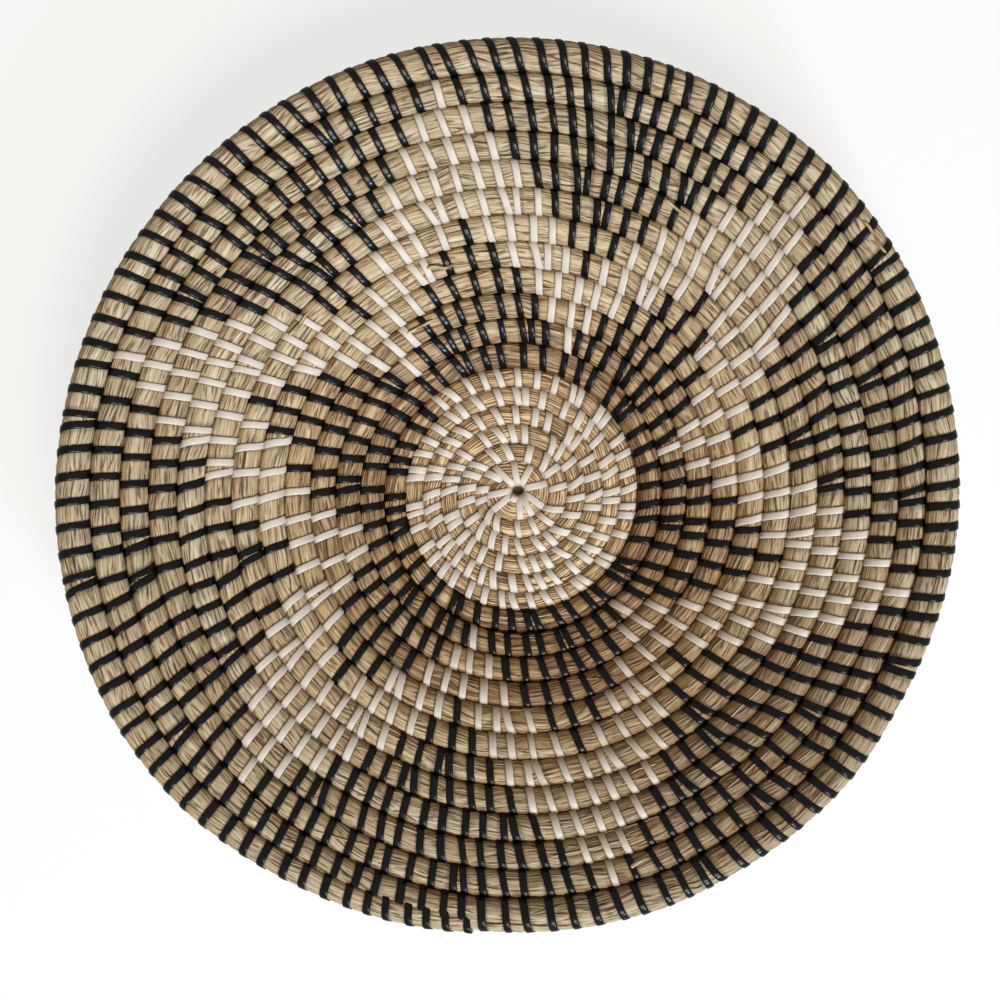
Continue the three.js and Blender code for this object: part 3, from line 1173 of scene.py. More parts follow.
@dataclass
class GrassRows:
    """The grass bundle, one closed piece for each row.

    Round the bundle lie many stalks side by side. Each stalk's share of the way round grows and
    shrinks along the bundle, so stalks wander, come up and go under. Each has a rounded back, with
    a groove between it and the next, and in stretches the groove opens to a deep crack.
    """

    form: BundleForm
    rng: np.random.Generator
    stalks: int = 27
    stalk_width: float = 1.15
    stalk_profile: tuple[Pair, ...] = ((0.0, -1.0), (0.1, -0.25), (0.5, 0.0), (0.9, -0.25))
    own_share: Pair = (0.55, 1.5)
    share_change: float = 0.5
    share_knot: float = 22.0
    share_at_wrap: Pair = (0.85, 1.15)
    sway: float = 0.06
    sway_knot: float = 160.0
    twist: float = 0.085
    height_change: float = 0.12
    height_knot: float = 13.0
    fine_height: float = 0.04
    fine_height_knot: float = 4.0
    groove_depth: float = 0.08
    side_depth: float = 0.16
    widest: float = 1.2
    crack_depth: float = 0.4
    crack_width: float = 0.13
    crack_knot: float = 8.0
    crack_own: Pair = (-0.45, 0.35)
    crack_in_base: float = 0.75
    crack_base_until: Pair = (4.5, 8.5)
    crack_from: Pair = (0.1, 0.7)
    side_gap: float = 0.9
    edge_range: Pair = (0.1, 0.3)
    past_most: float = 0.42
    end_room: float = 0.03
    least_radius: float = 3.0
    flattened: float = 0.6

    def ring_numbers(self, low: float, high: float) -> Array:
        """The running numbers of the rings of a piece.

        Each wrap has a ring under its middle and one at each edge of the strip, with another ring a
        little way past each edge and one halfway to the next wrap.

        Args:
            low: The running number at which the piece starts.
            high: The running number at which it ends.

        Returns:
            The running numbers in order.
        """
        stitches, path = self.form.stitches, self.form.path
        wraps = np.arange(math.floor(low) - 1, math.ceil(high) + 1)
        index = np.clip(wraps, 0, stitches.count - 1)
        radius = np.maximum(path.radius_at(stitches.entry_at(wraps)), path.sizes.start_radius)
        spacing = stitches.spacing_at(wraps) * 2 * math.pi * radius
        edge = np.clip(stitches.width[index] / 2 / spacing, *self.edge_range)
        past = np.minimum(edge + self.side_gap / spacing, self.past_most)
        after = [-past, -edge, 0 * edge, edge, past, 0 * edge + 0.5]
        inside = (wraps[:, None] + np.stack(after, axis=1)).ravel()
        inside = inside[(inside > low + self.end_room) & (inside < high - self.end_room)]
        return np.concatenate([[low], inside, [high]])

    def row_spans(self) -> list[tuple[str, float, float]]:
        """Splits the bundle into its rows.

        Returns:
            The name, first and last running number of each piece, which meet under a wrap.
        """
        stitches, path = self.form.stitches, self.form.path
        start = float(stitches.phase_at(np.array(-path.lead_in)))
        end = float(stitches.phase_at(np.array(path.end)))
        firsts = np.searchsorted(stitches.row, np.unique(stitches.row)[:-1])
        bounds = [start, *firsts.astype(float).tolist(), end]
        return [(f"grass_row_{k + 1:02d}", bounds[k], bounds[k + 1]) for k in range(len(bounds) - 1)]

    def build(self) -> list[bpy.types.Object]:
        """Makes every row's piece.

        Returns:
            The pieces, from the middle outward.
        """
        spans = self.row_spans()
        numbers = [self.ring_numbers(low, high) for _, low, high in spans]
        phase = np.concatenate(numbers)
        form, stitches = self.form, self.form.stitches
        middle = (stitches.entry_at(phase) + stitches.exit_at(phase)) / 2
        radius = np.maximum(form.path.radius_at(middle), self.least_radius)
        step = np.diff(middle) * math.pi * (radius[1:] + radius[:-1])
        length = np.concatenate([[0.0], np.cumsum(step)])
        rings = Rings(phase, middle, length)
        angles, relief, crack = self.stalk_fields(rings)
        tones = GrassTones(form.path, self.rng, self.stalks)
        colours = tones.colours(rings, crack)
        grid = phase[:, None] + np.zeros_like(angles)
        hold, past = form.hold(grid, angles)
        turns = stitches.turns_at(grid, angles, form.comma)
        points = form.surface(turns, angles, form.growth(hold), relief * (1 - self.flattened * hold))
        colours = colours * tones.shading(turns, angles, past)[..., None]
        around = np.arange(angles.shape[1] + 1) / len(self.stalk_profile) * self.stalk_width
        pieces, first = [], 0
        for (name, _, _), inside in zip(spans, numbers):
            last = first + len(inside)
            bundle = Tubes(angles.shape[1])
            bundle.add(points[first:last], colours[first:last], length[first:last], around)
            pieces.append(bundle.make(name, form.axis, "grass"))
            first = last
        return pieces

    def stalk_fields(self, rings: Rings) -> tuple[Array, Array, Array]:
        """Where each stalk lies round the bundle, how high each point is, and where it is cracked.

        Stalks run straight from one wrap to the next, where they may turn.

        Args:
            rings: The rings.

        Returns:
            For each ring and side the angle and the height in millimetres, and for each ring and
            stalk how open the crack before it is.
        """
        length = rings.length
        edges = self.stalk_edges(rings)
        profile = np.array(self.stalk_profile)
        width = np.diff(edges, axis=1)[..., None]
        crack = self.cracks(rings)
        after = np.roll(crack, -1, axis=1)
        narrow = self.crack_width * np.stack([0 * crack, crack, 0 * crack, -after], axis=-1)
        place = edges[:, :-1, None] + width * (profile[:, 0] + narrow)
        angles = wrap_angle(2 * math.pi * place.reshape(len(length), -1))
        rise = self.height_change * smooth_noise(self.rng, length, self.height_knot, self.stalks)
        fine = smooth_noise(self.rng, length, self.fine_height_knot, self.stalks)
        rise = rise + self.fine_height * fine
        joint = np.minimum(rise, np.roll(rise, 1, axis=1))
        side = np.full_like(crack, self.side_depth)
        depth = np.stack([self.groove_depth + self.crack_depth * crack, side, 0 * side, side], axis=-1)
        relief = depth * profile[:, 1] * np.minimum(width * self.stalks, self.widest)
        relief = np.stack([joint, rise, rise, rise], axis=-1) + relief
        return angles, relief.reshape(len(length), -1), crack

    def stalk_edges(self, rings: Rings) -> Array:
        """Where each stalk starts round the bundle.

        Args:
            rings: The rings.

        Returns:
            For each ring the start of each stalk and the end of the last, in turns round the bundle.
        """
        rng, phase = self.rng, rings.phase
        wraps = np.arange(math.floor(phase[0]), math.ceil(phase[-1]) + 1)
        at_wrap = np.interp(wraps, phase, rings.length)
        own = rng.uniform(*self.own_share, (1, self.stalks))
        share = own * (1 + self.share_change * smooth_noise(rng, at_wrap, self.share_knot, self.stalks))
        share = share * rng.uniform(*self.share_at_wrap, share.shape)
        edges = np.concatenate([np.zeros((len(wraps), 1)), np.cumsum(share, axis=1)], axis=1)
        edges = edges / edges[:, -1:]
        edges = edges + self.sway * smooth_noise(rng, at_wrap, self.sway_knot, 1)
        edges = edges + self.twist / (2 * math.pi) * rng.normal(size=(len(wraps), 1))
        index = np.minimum((phase - wraps[0]).astype(int), len(wraps) - 2)
        return mix(edges[index], edges[index + 1], (phase - wraps[0] - index)[:, None])

    def cracks(self, rings: Rings) -> Array:
        """How open the groove before each stalk is, in stretches along the bundle.

        Args:
            rings: The rings.

        Returns:
            A share from 0 to 1 for each ring and stalk.
        """
        own = self.rng.uniform(*self.crack_own, (1, self.stalks))
        stretch = smooth_noise(self.rng, rings.length, self.crack_knot, self.stalks)
        loose = self.crack_in_base * (1 - smooth_step(*self.crack_base_until, rings.turns))
        return smooth_step(*self.crack_from, stretch + own + loose[:, None])


@dataclass
class LooseStalks:
    """Single stalks that have slipped out of the bundle and lie over it.

    Each is a thin flattened rod with narrow ends that keeps close to the bundle's form, and bows a
    little to one side by a sine along it. It passes under the strips, or over them where
    over_strips is set.
    """

    form: BundleForm
    rng: np.random.Generator
    count: int = 420
    samples: int = 14
    sides: int = 5
    tones: tuple[tuple[int, int, int], ...] = (
        (180, 157, 123), (164, 139, 104), (140, 112, 79), (106, 79, 56),
    )
    tone_change: Pair = (0.8, 1.1)
    first_wrap: int = 8
    wraps_left: int = 12
    lengths: Pair = (7.0, 60.0)
    length_shape: float = 3.0
    length_scale: float = 7.0
    half_widths: Pair = (0.22, 0.46)
    half_thickness: float = 0.26
    lowest: float = 0.22
    highest: float = 0.8
    side_room: float = 0.12
    slant: float = 0.014
    bow: float = 0.1
    bow_waves: Pair = (0.5, 2.0)
    least_lift: float = 0.05
    more_lift: float = 0.22
    held_down: float = 0.8
    over_strips: bool = False
    over_lift: float = 0.8
    over_end: float = 0.2
    over_rise: float = 5.0
    end_share: float = 0.12
    end_rise: float = 6.0
    uv_step: float = 71.0
    uv_around: float = 2.0

    def build(self, name: str) -> bpy.types.Object:
        """Makes every loose stalk, all in one piece.

        Args:
            name: The piece's name.

        Returns:
            The piece.
        """
        form, stitches, rng, count = self.form, self.form.stitches, self.rng, self.count
        start = rng.uniform(self.first_wrap, stitches.count - self.wraps_left, count)
        turn = stitches.entry_at(start)
        spacing = stitches.spacing_at(start) * 2 * math.pi * form.path.radius_at(turn)
        length = rng.gamma(self.length_shape, self.length_scale, count).clip(*self.lengths)
        along = np.linspace(0.0, 1.0, self.samples)
        phase = start[:, None] + length[:, None] / spacing[:, None] * along
        phase = np.minimum(phase, stitches.count - 1.0)
        angle = self.angles(length, along)
        hold, _ = form.hold(phase, angle)
        growth = form.growth(hold)
        to_end = np.minimum(along, 1 - along)
        lift = self.least_lift + rng.uniform(0.0, self.more_lift, (count, 1))
        lift = lift * (1 - self.held_down * hold)
        if self.over_strips:
            growth = np.ones_like(hold)
            lift = self.over_lift * np.minimum(1.0, self.over_end + self.over_rise * to_end)
        taper = np.minimum(1.0, self.end_rise * to_end + self.end_share)
        half = rng.uniform(*self.half_widths, (count, 1)) * taper
        rods = self.rods(stitches.turns_at(phase, angle, form.comma), angle, growth, lift, half, taper)
        palette = np.stack([linear(*tone) for tone in self.tones])
        colour = palette[rng.integers(0, len(palette), count)] * rng.uniform(*self.tone_change, (count, 1))
        around = np.linspace(0.0, self.uv_around, self.sides + 1)
        stalks = Tubes(self.sides)
        for number, rod in enumerate(rods):
            stalks.add(rod, colour[number], length[number] * along + self.uv_step * number, around)
        return stalks.make(name, form.axis, "grass")

    def angles(self, length: Array, along: Array) -> Array:
        """The angle round the bundle of each place on each stalk.

        Args:
            length: The length of each stalk.
            along: The share of the length at each place.

        Returns:
            An angle for each stalk and place, which stays on the upper side.
        """
        slope = self.rng.normal(0.0, self.slant, self.count) * length
        middle = self.rng.uniform(self.lowest, self.highest, self.count)[:, None] * math.pi
        waves = self.rng.uniform(*self.bow_waves, (self.count, 1))
        angle = middle + slope[:, None] * (along - 0.5) + self.bow * np.sin(along * math.pi * waves)
        return angle.clip(self.side_room, math.pi - self.side_room)

    def rods(
        self, turns: Array, angle: Array, growth: Array, lift: Array, half_width: Array, taper: Array
    ) -> Array:
        """The rings of each stalk: an ellipse carried along its middle line.

        Args:
            turns: The turn of each place on each stalk.
            angle: Its angle round the bundle.
            growth: The factor on the bundle's section there.
            lift: How far it lies out of the section.
            half_width: Half the stalk's width there.
            taper: The share of the full size at each place.

        Returns:
            The points of each side, place and stalk.
        """
        middle = self.form.surface(turns, angle, growth, lift)
        up = self.form.surface(turns, angle, growth, lift + 1.0) - middle
        side = np.cross(np.gradient(middle, axis=1), up)
        side /= np.linalg.norm(side, axis=-1, keepdims=True)
        round_angle = 2 * math.pi * np.arange(self.sides) / self.sides
        wide = (half_width[..., None] * np.cos(round_angle))[..., None]
        high = (self.half_thickness * taper[None, :, None] * np.sin(round_angle))[..., None]
        return middle[:, :, None, :] + side[:, :, None, :] * wide + up[:, :, None, :] * high


@dataclass
class StripWork:
    """The plastic strips, wound over the rows in runs of one colour.

    A strip's middle line follows the bundle's form: over the row from entry to exit while the
    angle falls from half a turn to nothing, then beneath it to the next entry. Across its width a
    strip has a low crown and thin rounded edges.
    """

    form: BundleForm
    samples_over: int = 9
    samples_under: int = 5
    tail: float = 0.13
    end_room: float = 0.02
    width_lead: float = 0.25
    thickness: float = 0.62
    seat: float = 0.06
    floor_room: float = 0.02
    profile: tuple[Pair, ...] = (
        (-1.0, 0.0), (-0.86, 0.72), (-0.5, 0.98), (0.0, 1.08), (0.5, 0.98), (0.86, 0.72), (1.0, 0.0),
        (0.0, -0.8),
    )
    spoke_tips: tuple[float, ...] = (20.0, 64.0, 96.0, 129.0, 183.0, 214.0, 241.0, 276.5, 304.5, 333.5)
    spoke_reach: tuple[float, ...] = (1.0, 1.0, 1.0, 1.0, 1.0, 1.0, 0.45, 1.0, 1.0, 1.0)
    spoke_samples: int = 17
    spoke_width: float = 3.0
    spoke_overrun: float = 0.5
    spoke_turn: float = 14.0
    spoke_roundness: float = 0.9
    spoke_last_turn: float = 0.9
    hole_room: float = 0.15
    base_shade: float = 0.65
    wall_shade: float = 0.5
    shade_over: Pair = (5.0, 9.0)
    shade_from: Pair = (0.83, 0.96)
    run_uv_step: float = 31.7
    widths_around: float = 2.2
    spoke_uv_step: float = 17.3
    spoke_uv_length: float = 12.0
    spoke_uv_around: float = 6.0

    def runs(self, chosen: Array) -> list[tuple[int, int]]:
        """Splits the chosen wraps into stretches of neighbours.

        Args:
            chosen: True for each chosen wrap.

        Returns:
            The first and last wrap of each stretch.
        """
        numbers = np.flatnonzero(chosen)
        breaks = np.flatnonzero(np.diff(numbers) > 1)
        firsts = np.concatenate([[0], breaks + 1])
        lasts = np.concatenate([breaks, [len(numbers) - 1]])
        return [(int(numbers[first]), int(numbers[last])) for first, last in zip(firsts, lasts)]

    def run_places(self, first: int, last: int) -> Array:
        """Places along a run, closer together over the row than beneath it.

        Args:
            first: The run's first wrap.
            last: Its last wrap.

        Returns:
            The places, in wraps.
        """
        over = np.linspace(0.0, 0.5, self.samples_over, endpoint=False)
        under = np.linspace(0.5, 1.0, self.samples_under, endpoint=False)
        wrap = np.concatenate([over, under])
        whole = (np.arange(first - 1, last + 2)[:, None] + wrap[None, :]).ravel()
        low, high = first - self.tail, last + 1 - self.tail
        if last == self.form.stitches.count - 1:
            high = last + 0.5 + self.tail
        inside = whole[(whole > low + self.end_room) & (whole < high - self.end_room)]
        return np.concatenate([[low], inside, [high]])

    def turns_at(self, places: Array) -> Array:
        """The turn at each place of a run: entry to exit over the row, exit to entry beneath it.

        Args:
            places: Places along the run, in wraps.

        Returns:
            The turns.
        """
        entry, leave = self.form.stitches.entry, self.form.stitches.exit
        last = len(entry) - 1
        wrap = np.floor(places).astype(int)
        share = places - wrap
        here = np.clip(wrap, 0, last)
        following = np.clip(wrap + 1, 0, last)
        over = mix(entry[here], leave[here], np.clip(share * 2, 0, 1) ** self.form.comma)
        under = mix(leave[here], entry[following], np.clip(share * 2 - 1, 0, 1))
        turns = np.where(share < 0.5, over, under)
        return np.where(wrap < 0, entry[0] + places * (entry[1] - entry[0]), turns)

    def middle_line(self, places: Array) -> tuple[Array, Array]:
        """The middle line of a run and the way out of the bundle along it.

        Args:
            places: Places along the run, in wraps.

        Returns:
            The points and the outward directions.
        """
        turns = self.turns_at(places)
        angle = wrap_angle(math.pi * (1 - 2 * (places - np.floor(places))))
        angle = np.where(angle == -math.pi, math.pi, angle)
        offset = np.full(len(places), self.seat + self.thickness / 2)
        points = self.form.surface(turns, angle, self.form.growth(np.ones(len(places))), offset)
        _, _, out_x, out_y = self.form.section(turns, angle)
        frames = self.form.frames(turns)
        return points, frames.across * out_x[:, None] + frames.above * out_y[:, None]

    def shade(self, turns: Array, angle: Array) -> Array:
        """How light each ring of a strip is: less where it goes down into a groove.

        Args:
            turns: The turn of each ring.
            angle: The angle of each ring round the bundle.

        Returns:
            A factor up to 1 for each ring, in the form that Tubes takes as colours.
        """
        dark = mix(self.base_shade, self.wall_shade, smooth_step(*self.shade_over, turns))
        return (1 - dark * smooth_step(*self.shade_from, np.abs(np.cos(angle))))[:, None, None]

    def spoke_angles(self) -> Array:
        """The angles round the bundle along a spoke, a little past half a turn at both ends."""
        return np.linspace(math.pi + self.spoke_overrun, -self.spoke_overrun, self.spoke_samples)

    def rounded(self, value: Array) -> Array:
        """A sine or cosine to the spokes' power, with its own sign."""
        return np.sign(value) * np.abs(value) ** self.spoke_roundness

    def spoke(self, tip: float, reach: float, up: float) -> Array:
        """One straight spoke of the first turn, from the hole to the groove outside the turn.

        Args:
            tip: The angle of the spoke's outer end in degrees.
            reach: The share of the way to the groove that the spoke shows.
            up: 1 for a spoke over the turn and -1 for one beneath it.

        Returns:
            The rings of the strip.
        """
        form = self.form
        turn = ((tip - form.path.sizes.start_angle) / 360.0) % 1.0
        turn = turn - 1.0 if turn > self.spoke_last_turn else turn
        angle = self.spoke_angles()
        share = (1 + self.rounded(np.cos(angle))) / 2
        frame = form.path.frames(np.full(self.spoke_samples, turn))
        high = form.half_height(np.zeros(1)) * (1 - form.drawn_in) + self.seat + self.thickness / 2
        rise = self.rounded(np.sin(angle)) * high
        way = np.array([math.cos(math.radians(tip)), math.sin(math.radians(tip))])
        inner = way * (form.hole_radius + self.hole_room)
        outer = way * float(form.outer_edge(np.array(turn))) * reach
        flat = inner + (outer - inner) * share[:, None]
        points = np.column_stack([flat, frame.centre[:, 2] + up * rise])
        outward = np.column_stack([way * np.cos(angle)[:, None], up * np.sin(angle)])
        return self.sweep(form.stray.apply(points), outward, np.full(self.spoke_samples, self.spoke_width))

    def build_spokes(self, name: str) -> bpy.types.Object:
        """Makes the spokes of the first turn as one piece, above it and beneath.

        Args:
            name: The piece's name.

        Returns:
            The piece.
        """
        over = [(tip, reach, 1.0) for tip, reach in zip(self.spoke_tips, self.spoke_reach)]
        under = [(tip + self.spoke_turn, 1.0, -1.0) for tip in self.spoke_tips]
        light = self.shade(np.zeros(self.spoke_samples), self.spoke_angles())
        along = np.linspace(0, self.spoke_uv_length, self.spoke_samples)
        around = np.linspace(0, self.spoke_uv_around, len(self.profile) + 1)
        strips = Tubes(len(self.profile))
        for number, spoke in enumerate(over + under):
            strips.add(self.spoke(*spoke), light, along + self.spoke_uv_step * number, around)
        return strips.make(name, self.form.axis, "shade")

    def sweep(self, points: Array, outward: Array, width: Array) -> Array:
        """Carries the strip's profile along a line.

        Args:
            points: The strip's middle line.
            outward: The way out of what it lies on, at each point.
            width: The strip's width at each point.

        Returns:
            The rings of the strip.
        """
        run = np.gradient(points, axis=0)
        run /= np.linalg.norm(run, axis=1, keepdims=True)
        side = np.cross(outward, run)
        side /= np.linalg.norm(side, axis=1, keepdims=True)
        lift = np.cross(run, side)
        profile = np.array(self.profile)
        half = (width / 2)[:, None, None]
        rings = points[:, None, :] + side[:, None, :] * profile[None, :, :1] * half
        rings = rings + lift[:, None, :] * profile[None, :, 1:] * self.thickness / 2
        rings[..., 2] = np.maximum(rings[..., 2], self.floor_room)
        return rings

    def build_row(self, row: int, colour: StripColour, name: str) -> bpy.types.Object | None:
        """Makes the strips of one colour in one row as one piece.

        Args:
            row: The row's number, from 1 at the middle.
            colour: The strips' colour.
            name: The piece's name.

        Returns:
            The piece, or nothing where the row has no strip of that colour.
        """
        stitches = self.form.stitches
        chosen = (stitches.row == row) & (stitches.white == (colour is StripColour.WHITE))
        if not chosen.any():
            return None
        strips = Tubes(len(self.profile))
        for first, last in self.runs(chosen):
            places = self.run_places(first, last)
            near = np.clip(np.floor(places + self.width_lead).astype(int), first, last)
            width = stitches.width[near]
            rings = self.sweep(*self.middle_line(places), width)
            step = np.linalg.norm(np.diff(rings.mean(axis=1), axis=0), axis=1)
            along = np.concatenate([[0.0], np.cumsum(step)]) + self.run_uv_step * first
            light = self.shade(self.turns_at(places), math.pi * (1 - 2 * (places - np.floor(places))))
            around = np.linspace(0, self.widths_around * width.mean(), strips.sides + 1)
            strips.add(rings, light, along, around)
        return strips.make(name, self.form.axis, "shade")


@dataclass
class HoleShadeFloor:
    """A button painted dark as the shade at the bottom of the small hole in the middle, where the bundle
    starts.

    It is a closed round button that is lower in its middle. Each ring of its profile has a share of
    the radius, and a height over the button's upper edge.
    """

    form: BundleForm
    height: float = 2.6
    radius: float = 4.0
    sides: int = 32
    profile: tuple[Pair, ...] = (
        (0.2, -1.5), (0.6, -1.5), (1.0, -1.2), (1.0, 0.0), (0.6, -0.48), (0.2, -0.8),
    )
    # The button's dark tone is painted shade down the hole.
    tone: tuple[int, int, int] = (62, 58, 48)

    def build(self, name: str) -> bpy.types.Object:
        """Makes the button.

        Args:
            name: The piece's name.

        Returns:
            The piece.
        """
        angle = 2 * math.pi * np.arange(self.sides) / self.sides
        profile = np.array(self.profile)
        ring = np.stack([np.cos(angle), np.sin(angle)], axis=-1)
        flat = ring * (profile[:, 0] * self.radius)[:, None, None] + np.array(self.form.stray.hole)
        heights = np.broadcast_to((self.height + profile[:, 1])[:, None, None], (*flat.shape[:2], 1))
        around = np.linspace(0.0, 2 * math.pi * self.radius, self.sides + 1)
        along = np.arange(1.0, len(profile) + 1)
        button = Tubes(self.sides)
        button.add(np.concatenate([flat, heights], axis=-1), linear(*self.tone), along, around)
        return button.make(name, self.form.axis, "grass")


@dataclass
class Nodes:
    """The shader nodes of one material or world, with a short way to add each kind in use."""

    tree: bpy.types.NodeTree

    def join(self, node: bpy.types.Node, inputs: dict) -> None:
        """Sets a node's inputs.

        Args:
            node: The node.
            inputs: For each input, by name or number, a plain value or the output that feeds it.
        """
        for key, value in inputs.items():
            if isinstance(value, Socket):
                self.tree.links.new(value, node.inputs[key])
            else:
                node.inputs[key].default_value = value

    def add(self, kind: str, inputs: dict, **settings: str) -> bpy.types.NodeOutputs:
        """Adds a node and joins it up.

        Args:
            kind: The kind of node, without the word ShaderNode before it.
            inputs: For each input, by name or number, a plain value or the output that feeds it.
            settings: The node's own settings.

        Returns:
            The node's outputs.
        """
        node = self.tree.nodes.new("ShaderNode" + kind)
        for name, value in settings.items():
            setattr(node, name, value)
        self.join(node, inputs)
        return node.outputs

    def uv(self, scale: Triple, shift: Triple = (0.0, 0.0, 0.0)) -> Socket:
        """The piece's own UV map in millimetres, scaled each way and then shifted."""
        place = self.add("UVMap", {}, uv_map="UVMap")["UV"]
        return self.add("Mapping", {"Vector": place, "Scale": scale, "Location": shift})["Vector"]

    def own_colour(self, name: str) -> Socket:
        """The colour that the piece keeps at its points under a name."""
        return self.add("VertexColor", {}, layer_name=name)["Color"]

    def noise(self, place: Socket, scale: float, detail: float, roughness: float = 0.5) -> Socket:
        """Noise from 0 to 1 at a place."""
        inputs = {"Vector": place, "Scale": scale, "Detail": detail, "Roughness": roughness}
        return self.add("TexNoise", inputs)["Fac"]

    def spread(self, value: Socket, low: Pair, high: Pair, way: str = "LINEAR") -> Socket:
        """A value led from one number to another while it goes over a range.

        Args:
            value: The value.
            low: The range's first end, and the number there.
            high: The range's second end, and the number there.
            way: The node's name for the way between them.

        Returns:
            The number, which stays the same past either end.
        """
        inputs = {"From Min": low[0], "To Min": low[1], "From Max": high[0], "To Max": high[1]}
        return self.add("MapRange", {"Value": value, **inputs}, interpolation_type=way)["Result"]

    def blend(self, first: Colour, second: Colour, share: Socket | float, way: str = "MIX") -> Socket:
        """Two colours mixed or multiplied.

        Args:
            first: The colour to start from, plain or from an output.
            second: The colour to mix in or to multiply by, plain or from an output.
            share: How much of the second there is, from 0 to 1.
            way: The node's name for the way to blend.

        Returns:
            The colour.
        """
        first, second = ((*side, 1.0) if isinstance(side, tuple) else side for side in (first, second))
        return self.add("Mix", {"Factor": share, 6: first, 7: second}, data_type="RGBA", blend_type=way)[2]

    def bump(self, height: Socket, strength: float, depth: float) -> Socket:
        """The surface's direction with small bumps, their depth in millimetres."""
        return self.add("Bump", {"Height": height, "Strength": strength, "Distance": depth * MM})["Normal"]

    def direct_ray(self) -> Socket:
        """Tells the rays that show the surroundings from those that light the bowl.

        Returns:
            1 for a ray from the camera, a reflection or a clear material, and 0 for any other.
        """
        ray = self.add("LightPath", {})
        first = self.add("Math", {0: ray["Is Camera Ray"], 1: ray["Is Glossy Ray"]}, operation="MAXIMUM")
        second = {0: first["Value"], 1: ray["Is Transmission Ray"]}
        return self.add("Math", second, operation="MAXIMUM")["Value"]

    def show(self, output: str, share: Socket, shaders: tuple[Socket, Socket]) -> None:
        """Joins a mix of two shaders to an output node.

        Args:
            output: The output node's name.
            share: How much of the second shader there is, from 0 to 1.
            shaders: The two shaders' outputs.
        """
        mixed = self.add("MixShader", {"Fac": share, 1: shaders[0], 2: shaders[1]})
        self.join(self.tree.nodes[output], {"Surface": mixed["Shader"]})


def new_material(name: str) -> tuple[bpy.types.Material, Nodes, bpy.types.Node]:
    """Makes a new node material.

    Args:
        name: The material's name.

    Returns:
        The material, its nodes and its main shader.
    """
    material = bpy.data.materials.new(name)
    material.use_nodes = True
    return material, Nodes(material.node_tree), material.node_tree.nodes["Principled BSDF"]


@dataclass(frozen=True)
class GrassFinish:
    """Dry seagrass: each stalk's own colour, lighter and darker in streaks along its length.

    A few dark fibres run along it too. The streaks are slightly raised, and there is a faint sheen.
    """

    streak_scale: Triple = (0.11, 4.2, 1.0)
    streak_detail: float = 4.0
    streak_roughness: float = 0.65
    streak_low: Pair = (0.33, 0.66)
    streak_high: Pair = (0.67, 1.28)
    streak_strength: float = 0.5
    streak_depth: float = 0.12
    fibre_scale: Triple = (0.12, 2.4, 1.0)
    fibre_shift: Triple = (37.0, 11.0, 0.0)
    fibre_detail: float = 1.5
    fibre_low: Pair = (0.475, 0.0)
    fibre_high: Pair = (0.36, 0.95)
    fibre_tint: Triple = (0.36, 0.26, 0.17)
    roughness: float = 0.62
    specular: float = 0.3

    def make(self) -> bpy.types.Material:
        """Builds the material from the colours and the UV map of the pieces.

        Returns:
            The material.
        """
        material, nodes, shader = new_material("seagrass_finish")
        streak = nodes.noise(nodes.uv(self.streak_scale), 1.0, self.streak_detail, self.streak_roughness)
        tone = nodes.spread(streak, self.streak_low, self.streak_high)
        fibres = nodes.noise(nodes.uv(self.fibre_scale, self.fibre_shift), 1.0, self.fibre_detail)
        fibre = nodes.spread(fibres, self.fibre_low, self.fibre_high, "SMOOTHSTEP")
        colour = nodes.blend(nodes.own_colour("grass"), tone, 1.0, "MULTIPLY")
        nodes.join(shader, {
            "Base Color": nodes.blend(colour, self.fibre_tint, fibre, "MULTIPLY"),
            "Normal": nodes.bump(streak, self.streak_strength, self.streak_depth),
            "Roughness": self.roughness,
            "Specular IOR Level": self.specular,
        })
        return material


@dataclass(frozen=True)
class StripFinish:
    """Plastic strip: a smooth colour with a little wear and fine ripples, and a coat where glossy.

    The strip is darker where it goes down into a groove, by the shade that the pieces keep.
    """

    name: str
    colour: Triple
    worn: Triple
    specular: float
    ripple: float
    gloss: float = 0.0
    gloss_roughness: float = 0.17
    roughness: float = 0.45
    ripple_scale: Triple = (0.9, 1.6, 1.0)
    ripple_detail: float = 2.0
    wear_scale: float = 140.0
    wear_detail: float = 3.0
    wear_low: Pair = (0.45, 0.0)
    wear_high: Pair = (0.75, 1.0)

    def make(self) -> bpy.types.Material:
        """Builds the material from the shade and the UV map of the pieces.

        Returns:
            The material.
        """
        material, nodes, shader = new_material(self.name)
        ripples = nodes.noise(nodes.uv(self.ripple_scale), 1.0, self.ripple_detail)
        place = nodes.add("TexCoord", {})["Object"]
        cloud = nodes.noise(place, self.wear_scale, self.wear_detail)
        colour = nodes.blend(self.colour, self.worn, nodes.spread(cloud, self.wear_low, self.wear_high))
        nodes.join(shader, {
            "Base Color": nodes.blend(colour, nodes.own_colour("shade"), 1.0, "MULTIPLY"),
            "Normal": nodes.bump(ripples, 1.0, self.ripple),
            "Roughness": self.roughness,
            "Specular IOR Level": self.specular,
            "Coat Weight": self.gloss,
            "Coat Roughness": self.gloss_roughness,
        })
        return material


STRIP_FINISHES = {
    StripColour.WHITE: StripFinish(
        name="white_strip_finish", colour=(0.62, 0.53, 0.45), worn=(0.54, 0.455, 0.38),
        specular=0.3, ripple=0.1,
    ),
    StripColour.BLACK: StripFinish(
        name="black_strip_finish", colour=(0.0012, 0.001, 0.001), worn=(0.005, 0.0045, 0.004),
        specular=0.03, ripple=0.08, gloss=0.2,
    ),
}


